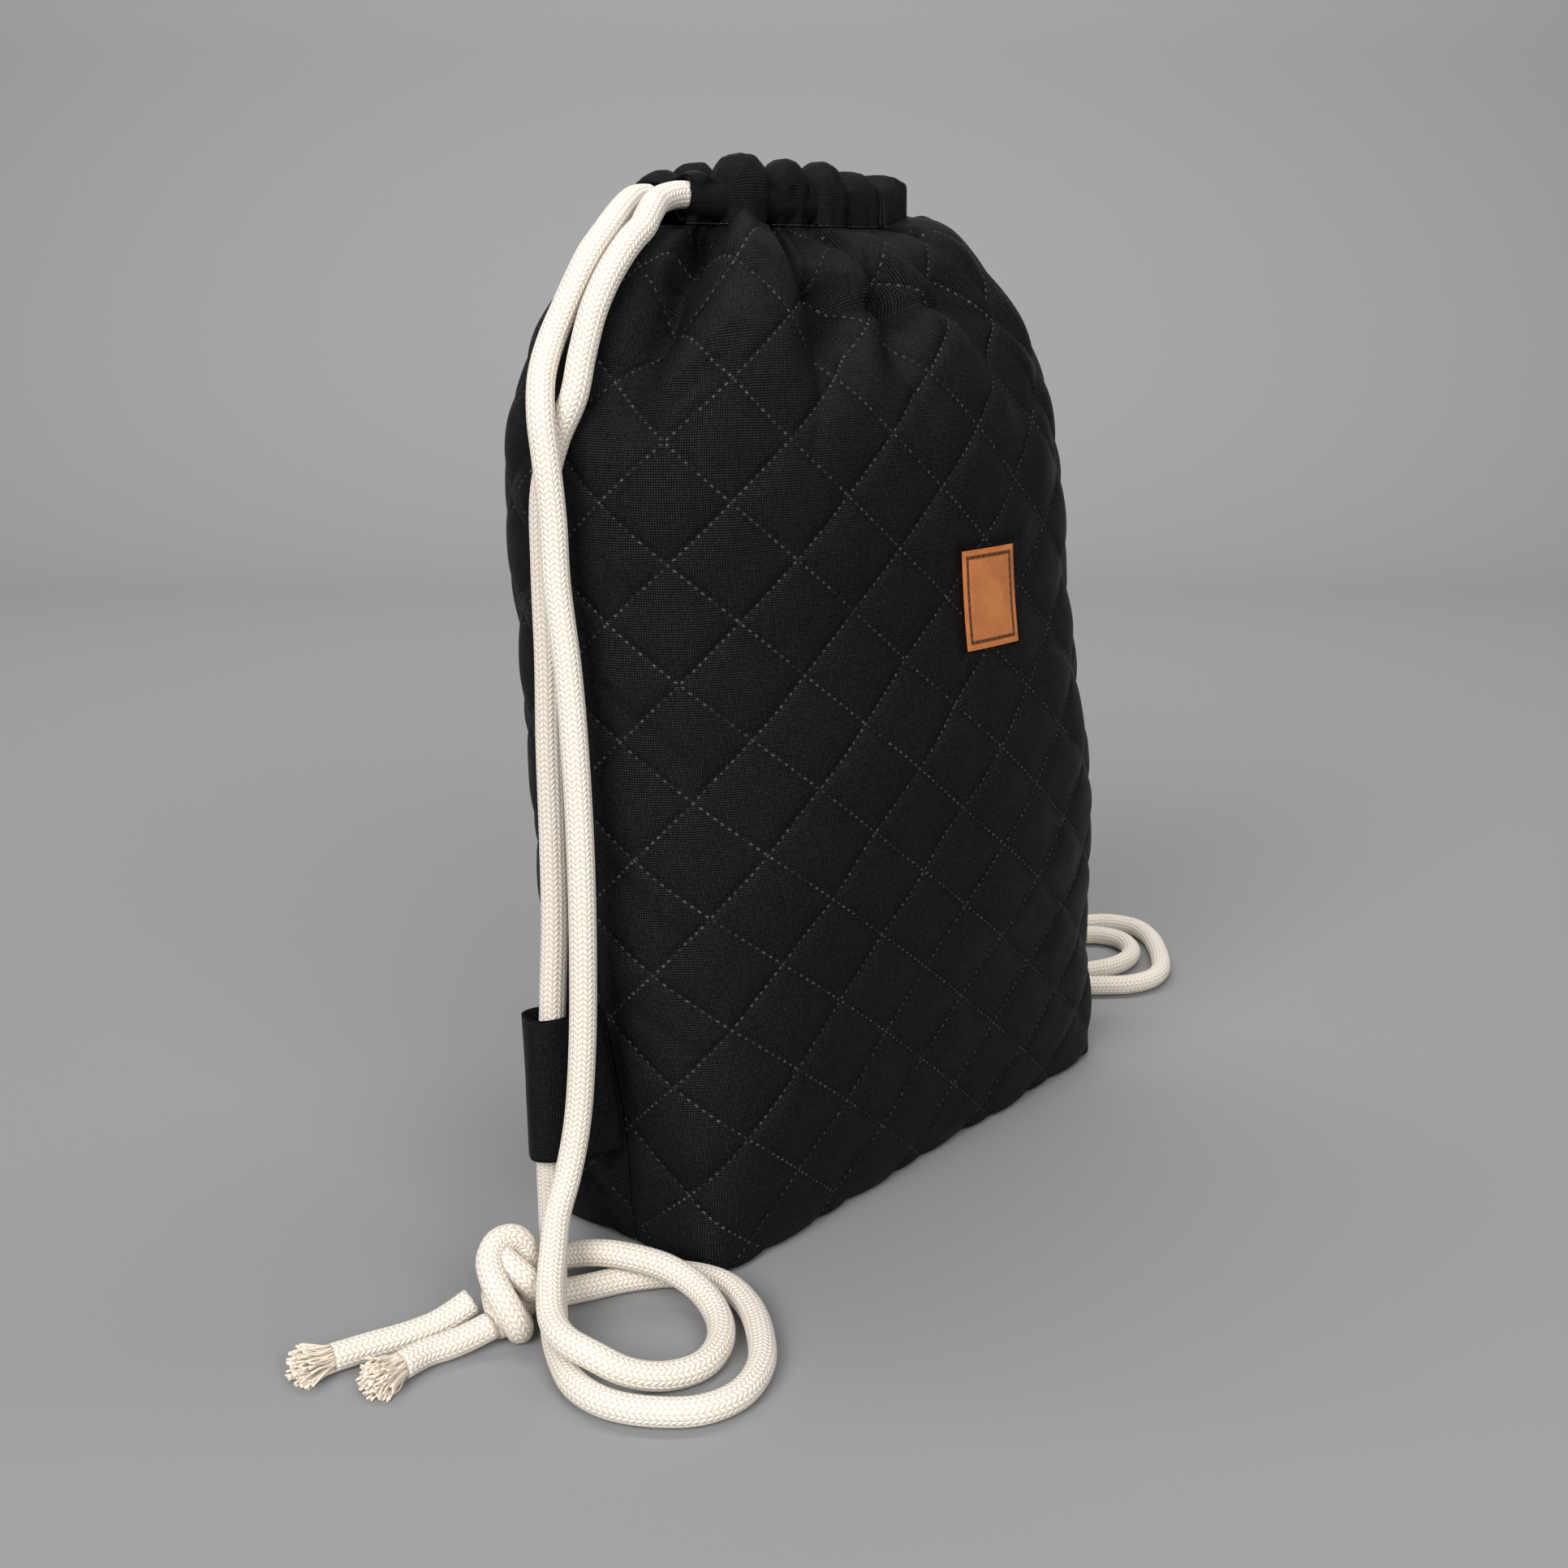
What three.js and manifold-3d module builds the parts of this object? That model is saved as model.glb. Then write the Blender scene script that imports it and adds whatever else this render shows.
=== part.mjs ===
// Quilted drawstring backpack, standing stuffed on its flat base.
// Millimetres, +Z up. Origin in the middle of the base, on the surface it stands on.
// X runs along the bag's width (left seam at -X), the front panel faces -Y.

import * as THREE from 'three';
import * as BufferGeometryUtils from 'three/addons/utils/BufferGeometryUtils.js';
import Module from 'manifold-3d';

// Bag body
const baseWidth = 277;
const baseDepth = 86;
const panelHeight = 384;
const shoulderRise = 6.5;
const shoulderStart = 28;
const shoulderEnd = 68;
const quiltThickness = 3;
const gatheredThickness = 1.8;
const seamGap = 0.3;
const baseSeamBow = 4;

// Gathered tunnels, the folded hems that hold the cords
const tunnelHeight = 21;
const tunnelThickness = 19;
const hemThickness = 1.6;
const tunnelReach = 47;
const tunnelShift = -12;
const tunnelSpread = 10.5;
const tunnelBow = 6;
const tunnelCrown = 2.5;
const tunnelDroop = 5.2;
const pleatsAcross = 5.3;
const pleatShift = -0.03;
const pleatDepth = 3.4;
const ruffleRise = 5;

// Side tabs, flat loops of cloth that stand out of the side seams and hold a cord
const tabHeight = 56;
const tabBottom = 44;
const tabReach = 37;
const tabBreadth = 19;
const tabThickness = 1.5;
const tabTurn = 32;
const tabGap = 1.2;

// Leather label on the front panel
const labelWidth = 33;
const labelHeight = 40;
const labelThickness = 1.8;
const labelMiddle = 243;
const labelAcross = 0.594;
const labelGap = 0.4;

// Cords, their knots and frayed ends
const cordDiameter = 10;
const cordSides = 8;
const cordStep = 26;
const cordGap = 0.4;
const knotLength = 43;
const knotBreadth = 19;
const knotHeight = 34;
const tuftDiameter = 17;
const tuftLength = 15;

// Facets
const stepsAcross = 30;
const stepsUp = 17;
const tunnelSteps = 26;
const tunnelSides = 10;

// Sections of the stuffed bag. Heights are shares of panelHeight, half sizes are shares of
// half the base width and depth, leans are shares of the same halves, squareness is the
// exponent of the superellipse and twist is in degrees about Z.
const sections = [
  { height: 0.0, width: 1.0, depth: 1.0, squareness: 20, twist: 4, leanX: 0.01, leanY: 0 },
  { height: 0.035, width: 1.02, depth: 1.08, squareness: 10, twist: 4, leanX: 0.01, leanY: 0 },
  { height: 0.15, width: 1.02, depth: 1.26, squareness: 4.5, twist: 3, leanX: 0, leanY: 0.02 },
  { height: 0.41, width: 1.0, depth: 1.58, squareness: 2.7, twist: -2, leanX: -0.05, leanY: 0.16 },
  { height: 0.62, width: 0.94, depth: 1.64, squareness: 2.5, twist: -4, leanX: -0.09, leanY: 0.33 },
  { height: 0.78, width: 0.895, depth: 1.7, squareness: 2.5, twist: -4, leanX: -0.132, leanY: 0.4 },
  { height: 0.88, width: 0.825, depth: 1.57, squareness: 2.4, twist: -4, leanX: -0.135, leanY: 0.42 },
  { height: 0.94, width: 0.71, depth: 1.36, squareness: 2.3, twist: -4, leanX: -0.145, leanY: 0.46 },
  { height: 0.98, width: 0.6, depth: 1.08, squareness: 2.2, twist: -4, leanX: -0.17, leanY: 0.5 },
  { height: 1.0, width: 0.49, depth: 0.58, squareness: 1.7, twist: -4, leanX: -0.11, leanY: 0.63 },
];

// Folds pressed into the panels. Across is the share of the panel's width from its left seam,
// at the fold's upper and lower end. Depth is a share of half the base depth, reach is a
// share of the panel's width and the heights are shares of panelHeight.
const frontFolds = [
  { acrossTop: 0.18, acrossEnd: 0.09, reach: 0.05, depth: 0.22, top: 0.98, end: 0.86 },
  { acrossTop: 0.4, acrossEnd: 0.38, reach: 0.05, depth: 0.36, top: 0.96, end: 0.89 },
  { acrossTop: 0.52, acrossEnd: 0.48, reach: 0.035, depth: 0.2, top: 0.96, end: 0.88 },
  { acrossTop: 0.66, acrossEnd: 0.7, reach: 0.05, depth: 0.24, top: 0.97, end: 0.86 },
];
const backFolds = [
  { acrossTop: 0.34, acrossEnd: 0.24, reach: 0.05, depth: 0.25, top: 0.97, end: 0.82 },
  { acrossTop: 0.68, acrossEnd: 0.74, reach: 0.05, depth: 0.25, top: 0.97, end: 0.82 },
];

// Routes of the cords, chosen points along their middle lines, from the tunnels' mouths
// down the sides, round the loops on the floor and up to the knots
const routes = {
  left_front_strand: [
    [-69, 19.2, 394.8], [-79, 21, 394.6], [-89, 19.6, 392.2], [-98.5, 14.4, 387.4], [-106, 10, 382.5],
    [-113, 8.6, 378], [-120, 7.6, 371.8], [-127, 7, 363.8], [-133.5, 6.6, 353.5], [-139, 6.6, 339],
    [-142.8, 7.2, 325], [-146.6, 13, 310], [-149, 17.5, 292], [-150, 17.5, 265], [-151.4, 15.5, 232],
    [-153, 14.5, 200], [-155, 12, 165], [-158, 9, 133], [-161.2, 7.6, 105], [-163.2, 7.4, 75],
    [-164.2, 8.2, 50], [-165.2, 8, 36], [-171.5, 0, 28], [-184, -15.5, 23], [-198, -32, 14],
    [-207, -43, 7.5], [-215.5, -57, 5.4], [-221.8, -72, 5.3], [-221.5, -87, 5.3], [-214.5, -101, 5.3],
    [-203, -112, 5.3], [-188, -115, 5.3], [-171, -108.5, 5.3], [-156, -94, 5.3], [-145, -77, 5.3],
    [-141, -60, 5.3], [-147, -44, 5.3], [-161, -33, 5.3], [-177, -26, 5.3], [-194, -19.7, 6.2],
  ],
  left_back_strand: [
    [-67.5, 42.5, 394.6], [-80, 40.8, 394], [-92, 34.3, 390.4], [-104, 27.2, 385.2], [-113.6, 22.6, 379.6],
    [-122, 20, 373.4], [-128.6, 19.4, 365], [-134.5, 19.3, 356], [-142.4, 19, 343.6], [-151, 14.4, 332],
    [-156.8, 8.6, 319], [-158, 5, 303], [-157.5, 3.2, 283], [-158.5, 1, 262], [-159.5, -5, 230],
    [-161.5, -10, 198], [-163.5, -13.5, 165], [-165.5, -15.5, 130], [-167.5, -16, 95], [-171, -16, 66],
    [-177, -17, 48], [-186, -21, 36.5], [-196, -30, 28], [-206, -40, 21.5], [-213.5, -50, 17.5],
    [-217.3, -61, 16.4], [-215.3, -73, 14.4], [-209, -82.5, 9.5], [-199, -90, 6.4], [-185, -93.5, 5.3],
    [-171, -88.5, 5.3], [-160.5, -78, 6.6], [-156, -64, 10.5], [-158, -50, 14.4], [-163.5, -37, 16.2],
    [-168.5, -25, 15.6], [-174.5, -15.4, 13.8], [-186.2, -8, 13],
  ],
  right_front_strand: [
    [19, 14.1, 395.6], [31, 17.2, 397.6], [42, 21, 399.2], [52, 27.5, 397.8], [61, 37, 393.5],
    [66.5, 46, 386], [71, 53, 375.5], [77, 57.8, 362], [84.5, 59.3, 346],
    [89.5, 59.5, 330], [95, 58.5, 313], [101, 56, 295], [107.5, 52, 269.5], [114.5, 46.5, 240],
    [121.5, 40, 212], [128, 34.5, 190], [135, 29.5, 170], [141, 25.8, 154], [150, 23.5, 128],
    [160, 20, 104], [163, 21.8, 75], [165.6, 23.6, 48], [168, 25, 32],
    [173, 25.5, 18], [182, 24.5, 9], [193, 21, 5.6], [203, 15.5, 5.3], [212, 7, 5.3],
    [222, -1.5, 5.3], [236, -6, 5.3], [251, -3, 5.3], [266, 6, 5.3], [281, 18, 5.3],
    [294, 31, 5.3], [302, 46, 5.3], [298, 62, 5.3], [284, 72, 5.3], [267, 77.5, 5.3],
    [253, 79.6, 5.8], [237.8, 80.7, 7.4],
  ],
  right_back_strand: [
    [20.7, 34.8, 395.6], [32, 34, 397.8], [42, 36.5, 399], [49.5, 44.5, 394.5], [54.5, 53, 386.5],
    [58, 60, 374.5], [62.5, 65.5, 360], [67.8, 69, 344], [72.5, 70.5, 330], [77.5, 71, 314],
    [83.5, 70, 295], [91, 68, 269], [99.5, 62.5, 240], [106.5, 58.5, 212], [114, 53, 190],
    [121, 49, 170], [129, 45, 152], [139, 42, 136], [147, 39.5, 119], [153, 38.5, 99],
    [157, 38.5, 75], [161, 39, 48], [166, 39.5, 30],
    [175, 39.5, 17], [187, 39, 9.5], [200, 36.5, 5.8], [213, 31.5, 5.3], [226, 24.5, 5.3],
    [240, 19.5, 5.3], [255, 20, 5.3], [269, 27, 5.3], [278, 40, 5.3], [276, 54, 5.3],
    [264, 63, 5.6], [248, 66, 7], [234.8, 64.7, 8.3],
  ],
  left_long_tail: [
    [-218.4, -11, 11.5], [-225, -9.3, 8.6], [-231.5, -7.5, 6.4], [-242, -4.5, 5.3], [-255, -0.5, 5.3], [-268, 3, 5.3],
  ],
  left_short_tail: [
    [-220.2, -23.8, 7.7], [-229, -21.7, 6], [-236, -20, 5.3], [-244, -18, 5.3], [-255, -18.5, 5.3],
  ],
  right_long_tail: [
    [211.7, 79.2, 8], [202, 80.2, 6.2], [194, 82, 5.4], [181, 85.5, 5.3], [168, 90, 5.3], [156, 95, 5.3],
  ],
  right_short_tail: [
    [215.2, 66, 8.6], [204, 66, 6.4], [195, 66.5, 5.4], [184, 68, 5.3], [174, 70, 5.3],
  ],
};

// Knots: the middle of each and the turn of its long side about Z, in degrees
const knots = {
  left_knot: { middle: [-208.5, -18.5, 17.4], turn: 62 },
  right_knot: { middle: [225, 72.5, 17.4], turn: 90 },
};

// Materials
const quiltedCloth = new THREE.MeshStandardMaterial({ color: 0x1c1c1e, roughness: 0.8, metalness: 0 });
const plainCloth = new THREE.MeshStandardMaterial({ color: 0x17171a, roughness: 0.75, metalness: 0 });
const tanLeather = new THREE.MeshStandardMaterial({ color: 0xb87244, roughness: 0.6, metalness: 0 });
const cottonCord = new THREE.MeshStandardMaterial({ color: 0xeae2d4, roughness: 0.9, metalness: 0 });

const halfWidth = baseWidth / 2;
const halfDepth = baseDepth / 2;

// Smooth curve through the rows of a table, evaluated for one column
function columnAt(rows, key, height) {
  let i = 0;
  while (i < rows.length - 2 && rows[i + 1].height < height) i += 1;
  const before = rows[Math.max(i - 1, 0)];
  const low = rows[i];
  const high = rows[i + 1];
  const after = rows[Math.min(i + 2, rows.length - 1)];
  const span = high.height - low.height;
  const t = THREE.MathUtils.clamp((height - low.height) / span, 0, 1);
  const slopeLow = (high[key] - before[key]) / Math.max(high.height - before.height, 1e-6);
  const slopeHigh = (after[key] - low[key]) / Math.max(after.height - low.height, 1e-6);
  const t2 = t * t;
  const t3 = t2 * t;
  return (2 * t3 - 3 * t2 + 1) * low[key] + (t3 - 2 * t2 + t) * span * slopeLow
    + (3 * t2 - 2 * t3) * high[key] + (t3 - t2) * span * slopeHigh;
}

// Half outline of a section from its left seam to its right seam, by even steps along the cloth
const outlineCache = new Map();
function halfOutline(a, b, squareness) {
  const key = `${a.toFixed(4)} ${b.toFixed(4)} ${squareness.toFixed(4)}`;
  if (outlineCache.has(key)) return outlineCache.get(key);
  const points = [];
  const steps = 240;
  for (let i = 0; i <= steps; i += 1) {
    const angle = (Math.PI * i) / steps;
    const c = Math.cos(angle);
    const s = Math.sin(angle);
    const radius = (Math.abs(c) ** squareness + Math.abs(s) ** squareness) ** (-1 / squareness);
    points.push(new THREE.Vector2(-a * c * radius, -b * s * radius));
  }
  const lengths = [0];
  for (let i = 1; i <= steps; i += 1) lengths.push(lengths[i - 1] + points[i].distanceTo(points[i - 1]));
  const outline = { points, lengths };
  outlineCache.set(key, outline);
  return outline;
}

function outlineAt(outline, share) {
  const target = share * outline.lengths[outline.lengths.length - 1];
  let i = 1;
  while (i < outline.lengths.length - 1 && outline.lengths[i] < target) i += 1;
  const span = outline.lengths[i] - outline.lengths[i - 1];
  const t = (target - outline.lengths[i - 1]) / span;
  return outline.points[i - 1].clone().lerp(outline.points[i], t);
}

// How deep the folds are pressed in at a point
function foldDepth(folds, across, height) {
  let depth = 0;
  for (const fold of folds) {
    const along = THREE.MathUtils.clamp((height - fold.end) / (fold.top - fold.end), -1, 2);
    const middle = THREE.MathUtils.lerp(fold.acrossEnd, fold.acrossTop, along);
    const rise = THREE.MathUtils.smoothstep(height, 2 * fold.end - fold.top, fold.top);
    const ease = 1 - 0.5 * THREE.MathUtils.smoothstep(height, fold.top, 1);
    const side = (across - middle) / fold.reach;
    depth += fold.depth * halfDepth * rise * ease * Math.exp(-side * side);
  }
  return depth;
}

// Pleats that the drawn cords gather the neck into, as a wave across a panel's width
function gatherWave(across) {
  return Math.cos(2 * Math.PI * pleatsAcross * (across - 0.5 - pleatShift));
}

// Point of a panel's outer face before folds: side is -1 for the front panel, 1 for the back
function smoothPoint(side, across, height) {
  const a = columnAt(sections, 'width', height) * halfWidth;
  const b = columnAt(sections, 'depth', height) * halfDepth;
  const squareness = columnAt(sections, 'squareness', height);
  const at = outlineAt(halfOutline(a, b, squareness), across);
  return sectionToBag(at.x, side * (seamGap / 2 - at.y), height);
}

// Outward normal of a face given as a function of across and height
function faceNormal(face, side, across, height) {
  const step = 0.012;
  const left = face(side, Math.max(across - step, 0), height);
  const right = face(side, Math.min(across + step, 1), height);
  const low = face(side, across, Math.max(height - step, 0));
  const high = face(side, across, Math.min(height + step, 1));
  return right.sub(left).cross(high.sub(low)).multiplyScalar(-side).normalize();
}

// Point of a panel's outer face with its folds and gathers
function panelPoint(side, across, height) {
  const at = smoothPoint(side, across, height);
  const normal = faceNormal(smoothPoint, side, across, height);
  normal.z *= 1 - THREE.MathUtils.smoothstep(height, 0.98, 1);
  normal.normalize();
  const calm = THREE.MathUtils.smoothstep(Math.min(across, 1 - across), 0, 0.12);
  const gather = THREE.MathUtils.smoothstep(height, 0.84, 0.97);
  const folds = side < 0 ? frontFolds : backFolds;
  const push = gather * pleatDepth * gatherWave(across) - foldDepth(folds, across, height);
  return at.addScaledVector(normal, calm * push);
}

// A point of a section's own frame, in the bag's frame
function sectionToBag(x, y, height) {
  const twist = THREE.MathUtils.degToRad(columnAt(sections, 'twist', height));
  const c = Math.cos(twist);
  const s = Math.sin(twist);
  const leanX = columnAt(sections, 'leanX', height) * halfWidth;
  const leanY = columnAt(sections, 'leanY', height) * halfDepth;
  const rise = shoulderRise * THREE.MathUtils.smoothstep(x, shoulderStart, shoulderEnd)
    * THREE.MathUtils.smoothstep(height, 0.92, 1);
  return new THREE.Vector3(x * c - y * s + leanX, x * s + y * c + leanY, height * panelHeight + rise);
}

// Collects triangles and makes one closed mesh of them
class SolidBuilder {
  constructor() {
    this.positions = [];
    this.indices = [];
  }

  point(p) {
    this.positions.push(p.x, p.y, p.z);
    return this.positions.length / 3 - 1;
  }

  triangle(a, b, c) {
    this.indices.push(a, b, c);
  }

  quad(a, b, c, d) {
    this.triangle(a, b, c);
    this.triangle(a, c, d);
  }

  // Faces between two equal rows of points
  strip(low, high, closed = false) {
    const count = closed ? low.length : low.length - 1;
    for (let i = 0; i < count; i += 1) {
      const next = (i + 1) % low.length;
      this.quad(low[i], low[next], high[next], high[i]);
    }
  }

  geometry(flip = false) {
    const geometry = new THREE.BufferGeometry();
    geometry.setAttribute('position', new THREE.Float32BufferAttribute(this.positions, 3));
    const indices = flip ? this.indices.slice().reverse() : this.indices;
    geometry.setIndex(indices);
    return geometry;
  }
}

function named(name, geometry, material) {
  geometry.computeVertexNormals();
  const mesh = new THREE.Mesh(geometry, material);
  mesh.name = name;
  return mesh;
}

function rowHeight(row) {
  const firstRow = 0.03;
  if (row === 0) return 0;
  const share = (row - 1) / (stepsUp - 1);
  return firstRow + (1 - firstRow) * (1 - (1 - share) ** 1.6);
}

// One quilted panel with its half of the base, a wall open at the top
function panelGeometry(side) {
  const builder = new SolidBuilder();
  const outer = [];
  const inner = [];
  for (let row = 0; row <= stepsUp; row += 1) {
    const height = rowHeight(row);
    const thickness = THREE.MathUtils.lerp(quiltThickness, gatheredThickness,
      THREE.MathUtils.smoothstep(height, 0.85, 1));
    const outerRow = [];
    const innerRow = [];
    for (let i = 0; i <= stepsAcross; i += 1) {
      const across = i / stepsAcross;
      const at = panelPoint(side, across, height);
      const normal = faceNormal(panelPoint, side, across, height);
      if (row === 0 || row === stepsUp || i === 0 || i === stepsAcross) normal.setZ(0).normalize();
      const inside = at.clone().addScaledVector(normal, -thickness);
      if (row === 0) inside.z = quiltThickness;
      if (i === 0 || i === stepsAcross) inside.copy(seamInside(side, i === 0 ? -1 : 1, height, thickness, inside.z));
      outerRow.push(builder.point(at));
      innerRow.push(builder.point(inside));
    }
    outer.push(outerRow);
    inner.push(innerRow);
  }
  for (let row = 0; row < stepsUp; row += 1) {
    builder.strip(outer[row], outer[row + 1]);
    builder.strip(inner[row + 1], inner[row]);
  }
  builder.strip(outer[stepsUp], inner[stepsUp]);
  const seamColumn = (grid, i) => grid.map((rowPoints) => rowPoints[i]);
  builder.strip(seamColumn(inner, stepsAcross), seamColumn(outer, stepsAcross));
  builder.strip(seamColumn(outer, 0), seamColumn(inner, 0));
  const outerSeam = baseSeam(builder, side, outer[0], 0, 0);
  const innerSeam = baseSeam(builder, side, inner[0], quiltThickness, quiltThickness);
  builder.strip(outerSeam, outer[0]);
  builder.strip(inner[0], innerSeam);
  builder.strip(innerSeam, outerSeam);
  return builder.geometry(side > 0);
}

// Inner end of a panel's seam edge, kept in the seam's plane
function seamInside(side, end, height, thickness, z) {
  const a = columnAt(sections, 'width', height) * halfWidth - thickness;
  const at = sectionToBag(end * a, (side * seamGap) / 2, height);
  at.z = z;
  return at;
}

// Points along the seam under the base, from the outline's left end to its right end
function baseSeam(builder, side, outlineRow, inset, z) {
  const a = columnAt(sections, 'width', 0) * halfWidth - inset;
  return outlineRow.map((end, i) => {
    if (i === 0 || i === stepsAcross) return end;
    const share = (2 * i) / stepsAcross - 1;
    const at = sectionToBag(share * a, (side * seamGap) / 2, 0);
    at.y += baseSeamBow * (1 - share * share);
    at.z = z;
    return builder.point(at);
  });
}

// Middle line of a tunnel, where its cord runs: along is -1 at the left mouth and 1 at the right
function tunnelMiddle(side, along) {
  const bow = tunnelSpread + tunnelBow * (1 - along * along);
  const at = sectionToBag(along * tunnelReach + tunnelShift, side * bow, 1);
  at.z += seamGap + tunnelHeight / 2;
  return at;
}

function tunnelAcross(side, along) {
  const ahead = tunnelMiddle(side, along + 0.02);
  const behind = tunnelMiddle(side, along - 0.02);
  const along3 = ahead.sub(behind);
  return new THREE.Vector3(along3.y, -along3.x, 0).normalize().multiplyScalar(-side);
}

// Closed tube wall between an outer and an inner row of loops
function wallTube(outerLoops, innerLoops, flip) {
  const builder = new SolidBuilder();
  const outer = outerLoops.map((loop) => loop.map((p) => builder.point(p)));
  const inner = innerLoops.map((loop) => loop.map((p) => builder.point(p)));
  const last = outer.length - 1;
  for (let i = 0; i < last; i += 1) {
    builder.strip(outer[i], outer[i + 1], true);
    builder.strip(inner[i + 1], inner[i], true);
  }
  builder.strip(inner[0], outer[0], true);
  builder.strip(outer[last], inner[last], true);
  return builder.geometry(flip);
}

// One gathered tunnel, hollow and open at both mouths
function tunnelGeometry(side) {
  const panelShare = 0.42;
  const outerLoops = [];
  const innerLoops = [];
  for (let i = 0; i <= tunnelSteps; i += 1) {
    const along = -1 + (2 * i) / tunnelSteps;
    const middle = tunnelMiddle(side, along);
    const normal = tunnelAcross(side, along);
    const fade = 1 - THREE.MathUtils.smoothstep(Math.abs(along), 0.7, 1);
    const wave = fade * gatherWave(0.5 + along * panelShare);
    const rise = (ruffleRise / 2) * wave + tunnelCrown - tunnelDroop * along * along;
    const outerLoop = [];
    const innerLoop = [];
    for (let j = 0; j < tunnelSides; j += 1) {
      const angle = (2 * Math.PI * j) / tunnelSides;
      const up = -Math.cos(angle);
      const out = Math.sin(angle);
      const shift = pleatDepth * (0.5 + 0.5 * wave) * (0.35 + 0.65 * Math.abs(up));
      const place = (halfHeight, halfThick) => middle.clone()
        .addScaledVector(normal, out * halfThick + shift)
        .add(new THREE.Vector3(0, 0, up * halfHeight + Math.max(up, 0) * rise));
      outerLoop.push(place(tunnelHeight / 2, tunnelThickness / 2));
      innerLoop.push(place(tunnelHeight / 2 - hemThickness, tunnelThickness / 2 - hemThickness));
    }
    outerLoops.push(outerLoop);
    innerLoops.push(innerLoop);
  }
  return wallTube(outerLoops, innerLoops, side < 0);
}

// Tab on a side seam: end is -1 on the left and 1 on the right
function tabGeometry(end) {
  const bulge = 0.6;
  const loopSides = 16;
  const turn = THREE.MathUtils.degToRad(tabTurn);
  const outwards = new THREE.Vector3(end * Math.cos(turn), Math.sin(turn), 0);
  const seamAt = (z) => smoothPoint(-1, end < 0 ? 0 : 1, z / panelHeight).setZ(z);
  const tip = seamAt(tabBottom).addScaledVector(outwards, tabReach);
  const outerLoops = [];
  const innerLoops = [];
  for (const share of [0, 0.5, 1]) {
    const z = tabBottom + share * tabHeight;
    const root = seamAt(z).addScaledVector(outwards, tabGap);
    const forwards = tip.clone().setZ(z).sub(root);
    const sideways = new THREE.Vector3(-forwards.y, forwards.x, 0).normalize();
    const loop = (wall) => {
      const points = [];
      for (let i = 0; i < loopSides; i += 1) {
        const angle = (2 * Math.PI * i) / loopSides;
        const along = (1 - Math.cos(angle)) / 2;
        const side = Math.sign(Math.sin(angle)) * Math.abs(Math.sin(angle)) ** bulge;
        const half = (tabBreadth / 2) * (0.6 + 0.4 * along) - wall;
        const inset = wall / forwards.length();
        const reach = inset + along * (1 - 2 * inset);
        points.push(root.clone().addScaledVector(forwards, reach).addScaledVector(sideways, side * half));
      }
      return points;
    };
    outerLoops.push(loop(0));
    innerLoops.push(loop(tabThickness));
  }
  return wallTube(outerLoops, innerLoops, true);
}

// Leather label, a thin curved patch that follows the front panel
function labelGeometry() {
  const columns = 5;
  const rows = 5;
  const builder = new SolidBuilder();
  const reach = 0.05;
  const sides = [-reach, reach].map((d) => panelPoint(-1, labelAcross + d, labelMiddle / panelHeight));
  const acrossPerMillimetre = (2 * reach) / sides[0].distanceTo(sides[1]);
  const layer = (lift) => {
    const grid = [];
    for (let row = 0; row <= rows; row += 1) {
      const z = labelMiddle + (row / rows - 0.5) * labelHeight;
      const line = [];
      for (let i = 0; i <= columns; i += 1) {
        const across = labelAcross + (i / columns - 0.5) * labelWidth * acrossPerMillimetre;
        const at = panelPoint(-1, across, z / panelHeight);
        const normal = faceNormal(smoothPoint, -1, across, z / panelHeight);
        line.push(builder.point(at.addScaledVector(normal, lift)));
      }
      grid.push(line);
    }
    return grid;
  };
  const outer = layer(labelGap + labelThickness);
  const inner = layer(labelGap);
  for (let row = 0; row < rows; row += 1) {
    builder.strip(outer[row], outer[row + 1]);
    builder.strip(inner[row + 1], inner[row]);
  }
  const column = (grid, i) => grid.map((line) => line[i]);
  builder.strip(outer[rows], inner[rows]);
  builder.strip(inner[0], outer[0]);
  builder.strip(column(inner, columns), column(outer, columns));
  builder.strip(column(outer, 0), column(inner, 0));
  return builder.geometry();
}

// Cord tube along a smooth curve through its route's points
function cordGeometry(points) {
  const curve = new THREE.CatmullRomCurve3(points.map((p) => new THREE.Vector3(...p)), false, 'centripetal');
  const section = new THREE.Shape();
  for (let i = 0; i < cordSides; i += 1) {
    const angle = (2 * Math.PI * (i + 0.5)) / cordSides;
    const x = (Math.cos(angle) * cordDiameter) / 2;
    const y = (Math.sin(angle) * cordDiameter) / 2;
    if (i === 0) section.moveTo(x, y);
    else section.lineTo(x, y);
  }
  section.closePath();
  const steps = Math.max(3, Math.round(curve.getLength() / cordStep));
  return new THREE.ExtrudeGeometry(section, { steps, extrudePath: curve, curveSegments: 1 });
}

// Stretch of cord that a tunnel hides, between the two strands that leave its mouths
function tunnelCordGeometry(side) {
  const leftEnd = -0.86;
  const rightEnd = 0.97;
  const points = [0, 0.25, 0.5, 0.75, 1].map((share) => {
    const at = tunnelMiddle(side, THREE.MathUtils.lerp(leftEnd, rightEnd, share));
    return [at.x, at.y, at.z];
  });
  return cordGeometry(points);
}

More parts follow.
